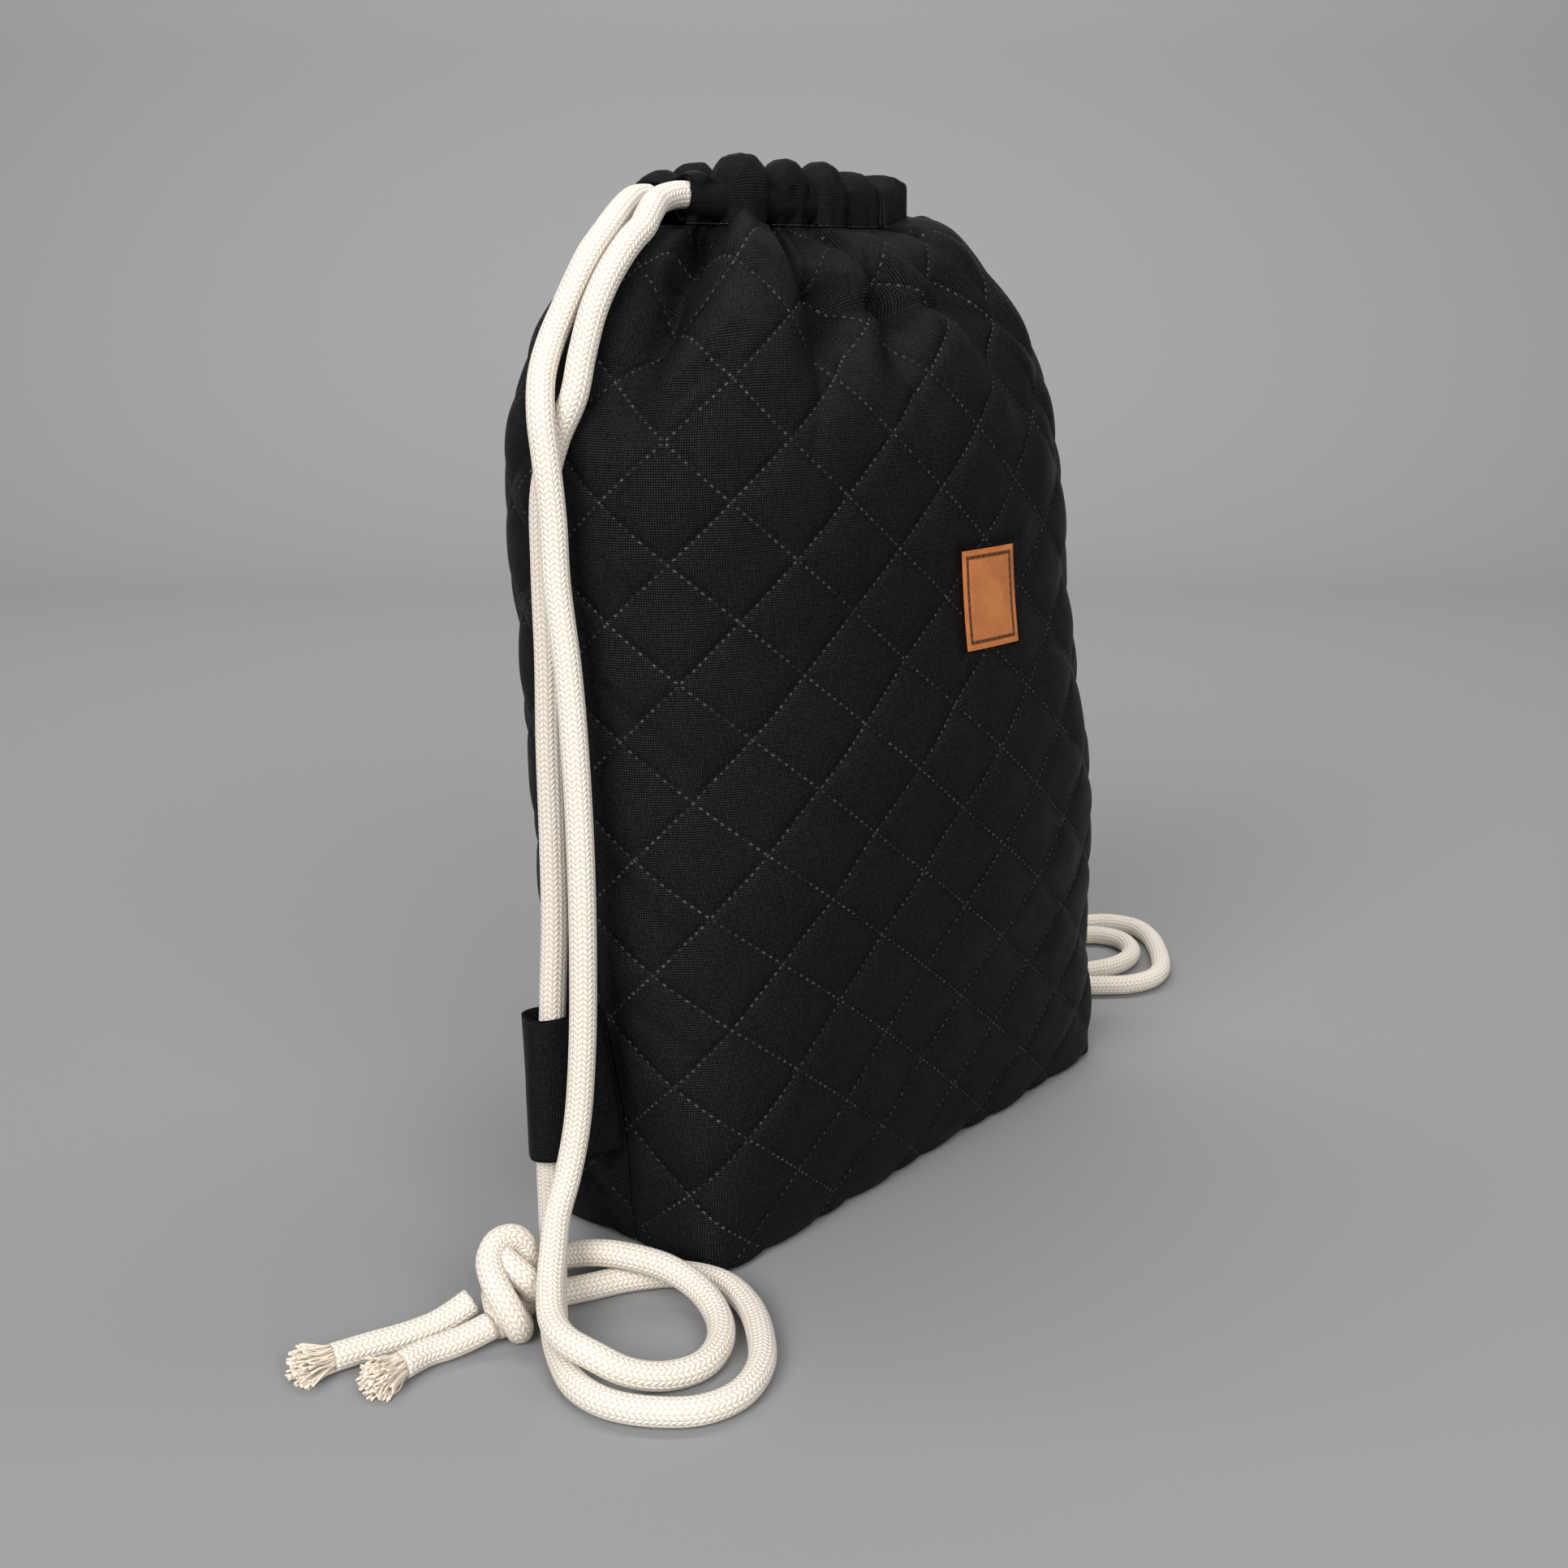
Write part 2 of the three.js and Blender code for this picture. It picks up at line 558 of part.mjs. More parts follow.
// Knot of both strands of a cord: two leaning wraps round a core
function knotGeometry(wasm, { middle, turn }) {
  const wrapSides = 8;
  const wrapSteps = 14;
  const wrapLean = 16;
  const wrapShift = 0.24;
  const radius = cordDiameter / 2;
  const solids = [-1, 1].map((end) => {
    const wrap = new THREE.TorusGeometry(knotHeight / 2 - radius, radius, wrapSides, wrapSteps);
    const stretch = (knotLength / 2 - radius) / (knotHeight / 2 - radius);
    wrap.scale(stretch, 1, 1);
    wrap.rotateY(THREE.MathUtils.degToRad(end * wrapLean));
    wrap.rotateX(Math.PI / 2);
    wrap.translate(0, end * wrapShift * knotBreadth, 0);
    return solidOf(wasm, wrap);
  });
  const core = new THREE.SphereGeometry(1, 12, 8);
  core.scale(knotLength / 2 - radius, knotBreadth / 2, knotHeight / 2 - radius);
  const whole = solids[0].add(solids[1]).add(solidOf(wasm, core));
  const geometry = geometryOf(whole);
  geometry.rotateZ(THREE.MathUtils.degToRad(turn));
  geometry.translate(...middle);
  return geometry;
}

// Frayed end of a tail: a head of short locks fanned round the cord's end
function tuftGeometry(points) {
  const end = new THREE.Vector3(...points[points.length - 1]);
  const before = new THREE.Vector3(...points[points.length - 2]);
  const along = end.clone().sub(before).normalize();
  const radius = tuftDiameter / 2;
  const locks = 9;
  const profile = [
    { along: 0, radius: 0.6 }, { along: 0.3, radius: 0.86 }, { along: 0.62, radius: 1 }, { along: 0.88, radius: 0.8 },
  ];
  const builder = new SolidBuilder();
  const start = end.clone().addScaledVector(along, cordGap);
  const up = new THREE.Vector3(0, 0, 1);
  const sideways = new THREE.Vector3().crossVectors(up, along).normalize();
  const upwards = new THREE.Vector3().crossVectors(along, sideways);
  const lift = radius - start.z;
  const rings = profile.map((row) => {
    const ring = [];
    for (let i = 0; i < 2 * locks; i += 1) {
      const angle = (Math.PI * i) / locks;
      const groove = i % 2 === 0 ? 1 : 1 - 0.16 * row.along;
      const r = radius * row.radius * groove;
      const at = start.clone().addScaledVector(along, row.along * tuftLength);
      at.addScaledVector(sideways, Math.cos(angle) * r).addScaledVector(upwards, Math.sin(angle) * r);
      at.z = Math.max(at.z + lift * row.along, seamGap);
      ring.push(builder.point(at));
    }
    return ring;
  });
  const base = builder.point(start);
  const tip = builder.point(start.clone().addScaledVector(along, tuftLength).setZ(radius));
  const last = rings[rings.length - 1];
  for (let i = 0; i < rings.length - 1; i += 1) builder.strip(rings[i], rings[i + 1], true);
  for (let i = 0; i < 2 * locks; i += 1) {
    const next = (i + 1) % (2 * locks);
    builder.triangle(rings[0][next], rings[0][i], base);
    builder.triangle(last[i], last[next], tip);
  }
  return builder.geometry();
}

// A closed geometry as a solid that can be cut and joined
function solidOf(wasm, geometry) {
  const bare = geometry.clone();
  bare.deleteAttribute('normal');
  bare.deleteAttribute('uv');
  const merged = BufferGeometryUtils.mergeVertices(bare, 1e-4);
  return new wasm.Manifold(new wasm.Mesh({
    numProp: 3,
    vertProperties: merged.attributes.position.array,
    triVerts: new Uint32Array(merged.index.array),
  }));
}

function geometryOf(solid) {
  const { vertProperties, triVerts } = solid.getMesh();
  const geometry = new THREE.BufferGeometry();
  geometry.setAttribute('position', new THREE.BufferAttribute(vertProperties, 3));
  geometry.setIndex(new THREE.BufferAttribute(triVerts, 1));
  return geometry;
}

const wasm = await Module();
wasm.setup();

const bag = new THREE.Group();
bag.add(
  named('front_panel', panelGeometry(-1), quiltedCloth),
  named('back_panel', panelGeometry(1), quiltedCloth),
  named('front_tunnel', tunnelGeometry(-1), plainCloth),
  named('back_tunnel', tunnelGeometry(1), plainCloth),
  named('left_tab', tabGeometry(-1), plainCloth),
  named('right_tab', tabGeometry(1), plainCloth),
  named('label', labelGeometry(), tanLeather),
  named('front_tunnel_cord', tunnelCordGeometry(-1), cottonCord),
  named('back_tunnel_cord', tunnelCordGeometry(1), cottonCord),
);
for (const [name, points] of Object.entries(routes)) {
  bag.add(named(name, cordGeometry(points), cottonCord));
  if (name.endsWith('tail')) bag.add(named(`${name}_fray`, tuftGeometry(points), cottonCord));
}
for (const [name, knot] of Object.entries(knots)) bag.add(named(name, knotGeometry(wasm, knot), cottonCord));

export default bag;
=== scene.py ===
import math
import random

import bmesh
import bpy
import numpy as np
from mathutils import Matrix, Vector


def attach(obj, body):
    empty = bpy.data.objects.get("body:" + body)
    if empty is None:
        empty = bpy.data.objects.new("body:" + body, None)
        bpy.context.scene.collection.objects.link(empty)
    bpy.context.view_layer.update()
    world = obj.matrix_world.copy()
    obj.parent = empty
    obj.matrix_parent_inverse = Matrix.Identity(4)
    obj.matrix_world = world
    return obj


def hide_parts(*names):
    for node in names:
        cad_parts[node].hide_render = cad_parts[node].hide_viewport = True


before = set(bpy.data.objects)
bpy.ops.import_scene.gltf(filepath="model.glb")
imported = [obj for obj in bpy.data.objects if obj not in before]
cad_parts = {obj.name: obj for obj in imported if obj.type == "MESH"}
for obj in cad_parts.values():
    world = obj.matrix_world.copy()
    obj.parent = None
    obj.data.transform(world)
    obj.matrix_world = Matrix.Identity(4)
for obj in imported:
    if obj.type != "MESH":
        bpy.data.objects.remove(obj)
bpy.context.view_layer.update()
mm = 0.001

# Camera, at the photograph's place and angle
cameraView = {
    "place": (-0.579, -0.5, 0.363),
    "pitchDown": 15.0,
    "heading": -47.0,
    "lens": 42.86,
    "sensor": 36.0,
}
cameraData = bpy.data.cameras.new("camera")
camera = bpy.data.objects.new("camera", cameraData)
bpy.context.scene.collection.objects.link(camera)
camera.location = cameraView["place"]
camera.rotation_euler = (
    math.radians(90 - cameraView["pitchDown"]),
    0,
    math.radians(cameraView["heading"]),
)
cameraData.lens = cameraView["lens"]
cameraData.sensor_width = cameraView["sensor"]
bpy.context.scene.camera = camera


# Shader helpers


def nodeInput(tree, socket, value):
    if isinstance(value, bpy.types.NodeSocket):
        tree.links.new(value, socket)
    elif value is not None:
        socket.default_value = value


def mathNode(tree, operation, a, b=None, c=None):
    node = tree.nodes.new("ShaderNodeMath")
    node.operation = operation
    for socket, value in zip(node.inputs, (a, b, c)):
        nodeInput(tree, socket, value)
    return node.outputs[0]


def noiseNode(tree, vector, scale, detail=2.0, roughness=0.5):
    node = tree.nodes.new("ShaderNodeTexNoise")
    nodeInput(tree, node.inputs["Vector"], vector)
    node.inputs["Scale"].default_value = scale
    node.inputs["Detail"].default_value = detail
    node.inputs["Roughness"].default_value = roughness
    return node.outputs["Fac"]


def rangeNode(tree, value, low, high, outLow, outHigh):
    node = tree.nodes.new("ShaderNodeMapRange")
    nodeInput(tree, node.inputs["Value"], value)
    sockets = ("From Min", "From Max", "To Min", "To Max")
    for name, number in zip(sockets, (low, high, outLow, outHigh)):
        nodeInput(tree, node.inputs[name], number)
    return node.outputs["Result"]


def mixColor(tree, factor, a, b):
    node = tree.nodes.new("ShaderNodeMix")
    node.data_type = "RGBA"
    nodeInput(tree, node.inputs[0], factor)
    nodeInput(tree, node.inputs[6], a)
    nodeInput(tree, node.inputs[7], b)
    return node.outputs[2]


def bumpNode(tree, height, strength, distance):
    node = tree.nodes.new("ShaderNodeBump")
    node.inputs["Strength"].default_value = strength
    node.inputs["Distance"].default_value = distance
    nodeInput(tree, node.inputs["Height"], height)
    return node.outputs["Normal"]


def newGroup(name, inputs, outputs):
    group = bpy.data.node_groups.new(name, "ShaderNodeTree")
    for socketName, kind, default in inputs:
        socket = group.interface.new_socket(socketName, in_out="INPUT", socket_type=kind)
        if default is not None:
            socket.default_value = default
    for socketName, kind in outputs:
        group.interface.new_socket(socketName, in_out="OUTPUT", socket_type=kind)
    return group, group.nodes.new("NodeGroupInput"), group.nodes.new("NodeGroupOutput")


def groupNode(tree, group, **values):
    node = tree.nodes.new("ShaderNodeGroup")
    node.node_tree = group
    for name, value in values.items():
        nodeInput(tree, node.inputs[name], value)
    return node


def splitUv(tree):
    uv = tree.nodes.new("ShaderNodeUVMap")
    uv.uv_map = "cloth"
    split = tree.nodes.new("ShaderNodeSeparateXYZ")
    tree.links.new(uv.outputs["UV"], split.inputs[0])
    return uv.outputs["UV"], split.outputs[0], split.outputs[1]


# A number from 0 to 1 for each pair of numbers
def whiteNoise(tree, a, b):
    combined = tree.nodes.new("ShaderNodeCombineXYZ")
    tree.links.new(a, combined.inputs[0])
    tree.links.new(b, combined.inputs[1])
    white = tree.nodes.new("ShaderNodeTexWhiteNoise")
    tree.links.new(combined.outputs[0], white.inputs["Vector"])
    return white.outputs["Value"]


# Woven cloth: plain weave of fat nylon yarns, in UV metres
def makeWeaveGroup():
    group, given, result = newGroup(
        "clothWeave",
        [
            ("U", "NodeSocketFloat", 0.0),
            ("V", "NodeSocketFloat", 0.0),
            ("Pitch", "NodeSocketFloat", 0.0009),
        ],
        [("Height", "NodeSocketFloat"), ("Glint", "NodeSocketFloat")],
    )
    across = mathNode(group, "DIVIDE", given.outputs["U"], given.outputs["Pitch"])
    upward = mathNode(group, "DIVIDE", given.outputs["V"], given.outputs["Pitch"])
    waveA = mathNode(group, "SINE", mathNode(group, "MULTIPLY", across, math.pi))
    waveB = mathNode(group, "SINE", mathNode(group, "MULTIPLY", upward, math.pi))
    product = mathNode(group, "MULTIPLY", waveA, waveB)
    humps = mathNode(group, "ABSOLUTE", product)
    over = mathNode(group, "GREATER_THAN", product, 0.0)
    height = mathNode(group, "MULTIPLY_ADD", over, 0.35, mathNode(group, "SQRT", humps))
    yarn = whiteNoise(group, mathNode(group, "FLOOR", across), mathNode(group, "FLOOR", upward))
    spark = mathNode(group, "MULTIPLY_ADD", yarn, 0.5, 0.5)
    glint = mathNode(group, "MULTIPLY", spark, humps)
    group.links.new(height, result.inputs["Height"])
    group.links.new(glint, result.inputs["Glint"])
    return group


clothWeave = makeWeaveGroup()

# The quilting and its thread, in metres; the thread's height and the grooves' depth are shares of
# the cloth's bump
quiltLook = {
    "acrossStep": 0.0243,
    "upStep": 0.0216,
    "firstAcross": 0.052,
    "firstUp": 0.31,
    "stitchLength": 0.0031,
    "threadWidth": 0.00052,
    "threadHeight": 1.2,
    "faintest": 0.1,
    "hemLine": 0.0032,
}
# Rows of stitches: where a gap ends and the thread is whole, as shares of a stitch, and the groove
sewingRows = {
    "hem": {"gapEnd": 0.2, "threadFrom": 0.28, "grooveWidth": 0.0018, "grooveDepth": 2.4},
    "quilt": {"gapEnd": 0.26, "threadFrom": 0.34, "grooveWidth": 0.0024, "grooveDepth": 2.6},
}
clothLook = {
    "yarnPitch": 0.0009,
    "color": (0.0009, 0.0009, 0.001, 1),
    "glintColor": (0.024, 0.024, 0.0245, 1),
    # Pale stitch colour: the thread with a painted sheen, lighter than the thread itself
    "threadColor": (0.085, 0.085, 0.08, 1),
    "roughness": 0.4,
    "roughnessRange": 0.07,
    "specular": 0.045,
    "mottleScale": 60.0,
    "mottleHeight": 1.4,
    "bump": 0.9,
    "bumpHeight": 0.00024,
}


def newMaterial(name):
    material = bpy.data.materials.new(name)
    material.use_nodes = True
    return material, material.node_tree, material.node_tree.nodes["Principled BSDF"]


# How much thread shows, and the groove, at an offset from a row of stitches
def stitchRow(tree, offset, along, row):
    width, length = quiltLook["threadWidth"], quiltLook["stitchLength"]
    onLine = rangeNode(tree, offset, width * 0.6, width, 1.0, 0.0)
    beat = mathNode(tree, "PINGPONG", along, length / 2)
    dash = rangeNode(tree, beat, length * row["gapEnd"], length * row["threadFrom"], 0.0, 1.0)
    groove = rangeNode(tree, offset, 0.0, row["grooveWidth"], -row["grooveDepth"], 0.0)
    return mathNode(tree, "MULTIPLY", onLine, dash), groove


# Both slanted sets of quilting rows, with some stitches fainter than others, which varies the painted
# sheen on the thread
def quiltRows(tree, across, upward):
    p = mathNode(tree, "SUBTRACT", across, quiltLook["firstAcross"])
    p = mathNode(tree, "DIVIDE", p, quiltLook["acrossStep"])
    q = mathNode(tree, "SUBTRACT", upward, quiltLook["firstUp"])
    q = mathNode(tree, "DIVIDE", q, quiltLook["upStep"])
    side = math.hypot(quiltLook["acrossStep"], quiltLook["upStep"])
    stitches, grooves = [], []
    for operation, other in (("ADD", "SUBTRACT"), ("SUBTRACT", "ADD")):
        share = mathNode(tree, "MULTIPLY", mathNode(tree, operation, p, q), 0.5)
        along = mathNode(tree, "MULTIPLY", mathNode(tree, other, p, q), 0.5 * side)
        offset = mathNode(tree, "MULTIPLY", mathNode(tree, "PINGPONG", share, 0.5), side)
        stitch, groove = stitchRow(tree, offset, along, sewingRows["quilt"])
        number = mathNode(tree, "DIVIDE", along, quiltLook["stitchLength"])
        number = mathNode(tree, "FLOOR", number)
        strength = whiteNoise(tree, number, mathNode(tree, "ROUND", share))
        strength = rangeNode(tree, strength, 0.0, 1.0, quiltLook["faintest"], 1.0)
        stitches.append(mathNode(tree, "MULTIPLY", stitch, strength))
        grooves.append(groove)
    return mathNode(tree, "MAXIMUM", *stitches), mathNode(tree, "MINIMUM", *grooves)


# Black nylon: quilted, plain, or with one row of stitches along a hem
def makeClothMaterial(name, sewing):
    material, tree, shader = newMaterial(name)
    uvVector, across, upward = splitUv(tree)
    weave = groupNode(tree, clothWeave, U=across, V=upward, Pitch=clothLook["yarnPitch"])
    color = mixColor(tree, weave.outputs["Glint"], clothLook["color"], clothLook["glintColor"])
    mottle = noiseNode(tree, uvVector, clothLook["mottleScale"], 3.0, 0.6)
    middle, swing = clothLook["roughness"], clothLook["roughnessRange"]
    roughness = rangeNode(tree, mottle, 0.3, 0.7, middle - swing, middle + swing)
    weaveHeight = weave.outputs["Height"]
    height = mathNode(tree, "MULTIPLY_ADD", mottle, clothLook["mottleHeight"], weaveHeight)
    if sewing != "none":
        if sewing == "hem":
            offset = mathNode(tree, "SUBTRACT", upward, quiltLook["hemLine"])
            offset = mathNode(tree, "ABSOLUTE", offset)
            stitch, groove = stitchRow(tree, offset, across, sewingRows["hem"])
        else:
            stitch, groove = quiltRows(tree, across, upward)
        # Painted sheen: the stitches get a pale colour that stands for the thread and the highlights
        # it catches
        color = mixColor(tree, stitch, color, clothLook["threadColor"])
        sewn = mathNode(tree, "MULTIPLY_ADD", stitch, quiltLook["threadHeight"], groove)
        height = mathNode(tree, "ADD", height, sewn)
    nodeInput(tree, shader.inputs["Base Color"], color)
    nodeInput(tree, shader.inputs["Roughness"], roughness)
    shader.inputs["Specular IOR Level"].default_value = clothLook["specular"]
    bump = bumpNode(tree, height, clothLook["bump"], clothLook["bumpHeight"])
    tree.links.new(bump, shader.inputs["Normal"])
    return material


quiltMaterial = makeClothMaterial("quiltedNylon", "quilt")
plainMaterial = makeClothMaterial("plainNylon", "none")
hemMaterial = makeClothMaterial("hemNylon", "hem")

cordLook = {
    "color": (0.84, 0.775, 0.685, 1),
    # Painted shade: the colour of the braid's hollows between the plaits
    "braidHollowShade": (0.52, 0.45, 0.37, 1),
    "patchColor": (0.72, 0.62, 0.5, 1),
    "patchShare": 0.22,
    "yarnDark": (0.62, 0.52, 0.4, 1),
    "yarnLight": (0.86, 0.79, 0.69, 1),
    "roughness": 0.9,
    "specular": 0.2,
    "sheen": 0.25,
    "plaits": 8.0,
    "rowLength": 0.0021,
    "rowSlope": 1.5,
    "patchScale": 60.0,
    "fuzzScale": 2600.0,
    "fuzzHeight": 0.5,
    "bump": 0.8,
    "bumpHeight": 0.0005,
}


# Cotton braid: V shaped stitches in columns round the cord. U is the turn, V metres along.
def makeCordMaterial():
    material, tree, shader = newMaterial("cottonBraid")
    uvVector, turn, along = splitUv(tree)
    column = mathNode(tree, "MULTIPLY", turn, cordLook["plaits"])
    slope = mathNode(tree, "PINGPONG", column, 0.5)
    rows = mathNode(tree, "DIVIDE", along, cordLook["rowLength"])
    rows = mathNode(tree, "MULTIPLY_ADD", slope, cordLook["rowSlope"], rows)
    fromRow = mathNode(tree, "POWER", mathNode(tree, "PINGPONG", rows, 0.5), 2.0)
    ridge = mathNode(tree, "SUBTRACT", 1.0, mathNode(tree, "MULTIPLY", fromRow, 4.0))
    fromColumn = mathNode(tree, "PINGPONG", mathNode(tree, "MULTIPLY", column, 2.0), 0.5)
    valley = mathNode(tree, "MULTIPLY", fromColumn, 2.0)
    plait = mathNode(tree, "MULTIPLY", ridge, mathNode(tree, "POWER", valley, 0.5))
    place = tree.nodes.new("ShaderNodeTexCoord").outputs["Object"]
    fuzz = noiseNode(tree, place, cordLook["fuzzScale"], 2.0, 0.6)
    patches = noiseNode(tree, place, cordLook["patchScale"], 2.0, 0.5)
    height = mathNode(tree, "MULTIPLY_ADD", fuzz, cordLook["fuzzHeight"], plait)
    # Painted shade: the hollows between the plaits get a darker colour, the raised plaits the cord's
    # own
    raised = rangeNode(tree, plait, 0.0, 0.55, 0.0, 1.0)
    color = mixColor(tree, raised, cordLook["braidHollowShade"], cordLook["color"])
    patches = rangeNode(tree, patches, 0.3, 0.75, 0.0, cordLook["patchShare"])
    color = mixColor(tree, patches, color, cordLook["patchColor"])
    nodeInput(tree, shader.inputs["Base Color"], color)
    shader.inputs["Roughness"].default_value = cordLook["roughness"]
    shader.inputs["Specular IOR Level"].default_value = cordLook["specular"]
    shader.inputs["Sheen Weight"].default_value = cordLook["sheen"]
    bump = bumpNode(tree, height, cordLook["bump"], cordLook["bumpHeight"])
    tree.links.new(bump, shader.inputs["Normal"])
    return material


cordMaterial = makeCordMaterial()


def makeYarnMaterial():
    material, tree, shader = newMaterial("looseYarn")
    place = tree.nodes.new("ShaderNodeTexCoord").outputs["Object"]
    patches = noiseNode(tree, place, 300.0, 3.0, 0.6)
    color = mixColor(tree, patches, cordLook["yarnDark"], cordLook["yarnLight"])
    nodeInput(tree, shader.inputs["Base Color"], color)
    shader.inputs["Roughness"].default_value = 0.95
    shader.inputs["Specular IOR Level"].default_value = 0.15
    bump = bumpNode(tree, noiseNode(tree, place, 3000.0), 0.5, 0.0002)
    tree.links.new(bump, shader.inputs["Normal"])
    return material


yarnMaterial = makeYarnMaterial()


# Mesh helpers


# A smooth object at the origin
def addObject(name, bm, material):
    mesh = bpy.data.meshes.new(name)
    bm.to_mesh(mesh)
    bm.free()
    for polygon in mesh.polygons:
        polygon.use_smooth = True
    mesh.materials.append(material)
    made = bpy.data.objects.new(name, mesh)
    bpy.context.scene.collection.objects.link(made)
    return made


def addPiece(name, bm, material, nodes):
    bmesh.ops.recalc_face_normals(bm, faces=bm.faces)
    piece = addObject(name, bm, material)
    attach(piece, "root")
    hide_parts(*nodes)
    return piece


# Quads between rows of points. The UV grid holds metres.
def gridInto(bm, points, uv, closed=False):
    layer = bm.loops.layers.uv.get("cloth") or bm.loops.layers.uv.new("cloth")
    rows, columns = points.shape[:2]
    grid = [[bm.verts.new(points[i, j]) for j in range(columns)] for i in range(rows)]
    for i in range(rows - 1):
        for j in range(columns if closed else columns - 1):
            after = (j + 1) % columns
            corners = ((i, j), (i, after), (i + 1, after), (i + 1, j))
            face = bm.faces.new([grid[a][b] for a, b in corners])
            for loop, (a, b) in zip(face.loops, corners):
                wrap = columns if closed and b == 0 and j == columns - 1 else b
                loop[layer].uv = uv[a][wrap]
    return grid


# Lengths along a line up to each of its points
def lengthsAlong(points):
    steps = np.linalg.norm(np.diff(points, axis=0), axis=1)
    return np.concatenate([[0], np.cumsum(steps)])


# Smooth curve through points, in steps of even spacing, and its length
def splinePoints(points, spacing):
    q = np.array(points, dtype=float)
    q = np.vstack([2 * q[0] - q[1], q, 2 * q[-1] - q[-2]])
    out = []
    for i in range(1, len(q) - 2):
        p0, p1, p2, p3 = q[i - 1], q[i], q[i + 1], q[i + 2]
        k1 = np.linalg.norm(p1 - p0) ** 0.5
        k2 = k1 + np.linalg.norm(p2 - p1) ** 0.5
        k3 = k2 + np.linalg.norm(p3 - p2) ** 0.5
        for t in np.linspace(k1, k2, 24, endpoint=False):
            a1 = (k1 - t) / k1 * p0 + t / k1 * p1
            a2 = (k2 - t) / (k2 - k1) * p1 + (t - k1) / (k2 - k1) * p2
            a3 = (k3 - t) / (k3 - k2) * p2 + (t - k2) / (k3 - k2) * p3
            b1 = (k2 - t) / k2 * a1 + t / k2 * a2
            b2 = (k3 - t) / (k3 - k1) * a2 + (t - k1) / (k3 - k1) * a3
            out.append((k2 - t) / (k2 - k1) * b1 + (t - k1) / (k2 - k1) * b2)
    out.append(q[-2])
    out = np.array(out)
    lengths = lengthsAlong(out)
    count = max(2, int(round(lengths[-1] / spacing)))
    even = np.linspace(0, lengths[-1], count + 1)
    return np.stack([np.interp(even, lengths, out[:, k]) for k in range(3)], axis=1), lengths[-1]


# Bag shape in millimetres, the same sections and folds as the CAD
bagShape = {
    "baseWidth": 277.0,
    "baseDepth": 86.0,
    "panelHeight": 384.0,
    "shoulderRise": 6.5,
    "shoulderStart": 28.0,
    "shoulderEnd": 68.0,
    "seamGap": 0.3,
    "baseSeamBow": 4.0,
    "wall": 2.4,
}
sectionNames = ("height", "width", "depth", "squareness", "twist", "leanX", "leanY")
sectionTable = np.array([
    (0.0, 1.0, 1.0, 20, 4, 0.01, 0),
    (0.035, 1.02, 1.08, 10, 4, 0.01, 0),
    (0.15, 1.02, 1.26, 4.5, 3, 0, 0.02),
    (0.41, 1.0, 1.58, 2.7, -2, -0.05, 0.16),
    (0.62, 0.94, 1.64, 2.5, -4, -0.09, 0.33),
    (0.78, 0.895, 1.7, 2.5, -4, -0.132, 0.4),
    (0.88, 0.825, 1.57, 2.4, -4, -0.135, 0.42),
    (0.94, 0.71, 1.36, 2.3, -4, -0.145, 0.46),
    (0.98, 0.6, 1.08, 2.2, -4, -0.17, 0.5),
    (1.0, 0.49, 0.58, 1.7, -4, -0.11, 0.63),
])

# Wide folds: across at the top and at the end, half width, depth as a share of half the base's
# depth, and the heights of the top and the end
frontFolds = (
    (0.18, 0.09, 0.05, 0.22, 0.98, 0.86),
    (0.4, 0.38, 0.05, 0.36, 0.96, 0.89),
    (0.52, 0.48, 0.035, 0.2, 0.96, 0.88),
    (0.66, 0.7, 0.05, 0.24, 0.97, 0.86),
)
backFolds = (
    (0.34, 0.24, 0.05, 0.25, 0.97, 0.82),
    (0.68, 0.74, 0.05, 0.25, 0.97, 0.82),
)

# Pleats from the gathered edge down: across at the edge and at the end, half width at both, how far
# out in millimetres, and the height of the end
frontPleats = (
    (0.155, 0.11, 0.02, 0.03, -8.0, 0.8),
    (0.228, 0.29, 0.042, 0.09, 6.0, 0.84),
    (0.33, 0.415, 0.018, 0.032, -9.0, 0.86),
    (0.41, 0.47, 0.026, 0.05, 3.0, 0.9),
    (0.475, 0.54, 0.014, 0.022, -5.0, 0.89),
    (0.54, 0.6, 0.026, 0.045, 3.0, 0.88),
    (0.6, 0.66, 0.014, 0.022, -4.5, 0.87),
    (0.66, 0.72, 0.028, 0.05, 2.5, 0.86),
    (0.73, 0.8, 0.016, 0.026, -4.0, 0.84),
)
backPleats = (
    (0.2, 0.13, 0.018, 0.03, -5.0, 0.84),
    (0.3, 0.27, 0.034, 0.07, 4.0, 0.86),
    (0.38, 0.36, 0.016, 0.026, -6.0, 0.86),
    (0.46, 0.46, 0.03, 0.05, 3.0, 0.88),
    (0.54, 0.56, 0.015, 0.024, -5.5, 0.87),
    (0.62, 0.66, 0.03, 0.05, 3.0, 0.87),
    (0.7, 0.77, 0.016, 0.026, -5.0, 0.84),
)
halfWidth = bagShape["baseWidth"] / 2
halfDepth = bagShape["baseDepth"] / 2


def smoothStep(value, low, high):
    t = np.clip((np.asarray(value, dtype=float) - low) / (high - low), 0, 1)
    return t * t * (3 - 2 * t)


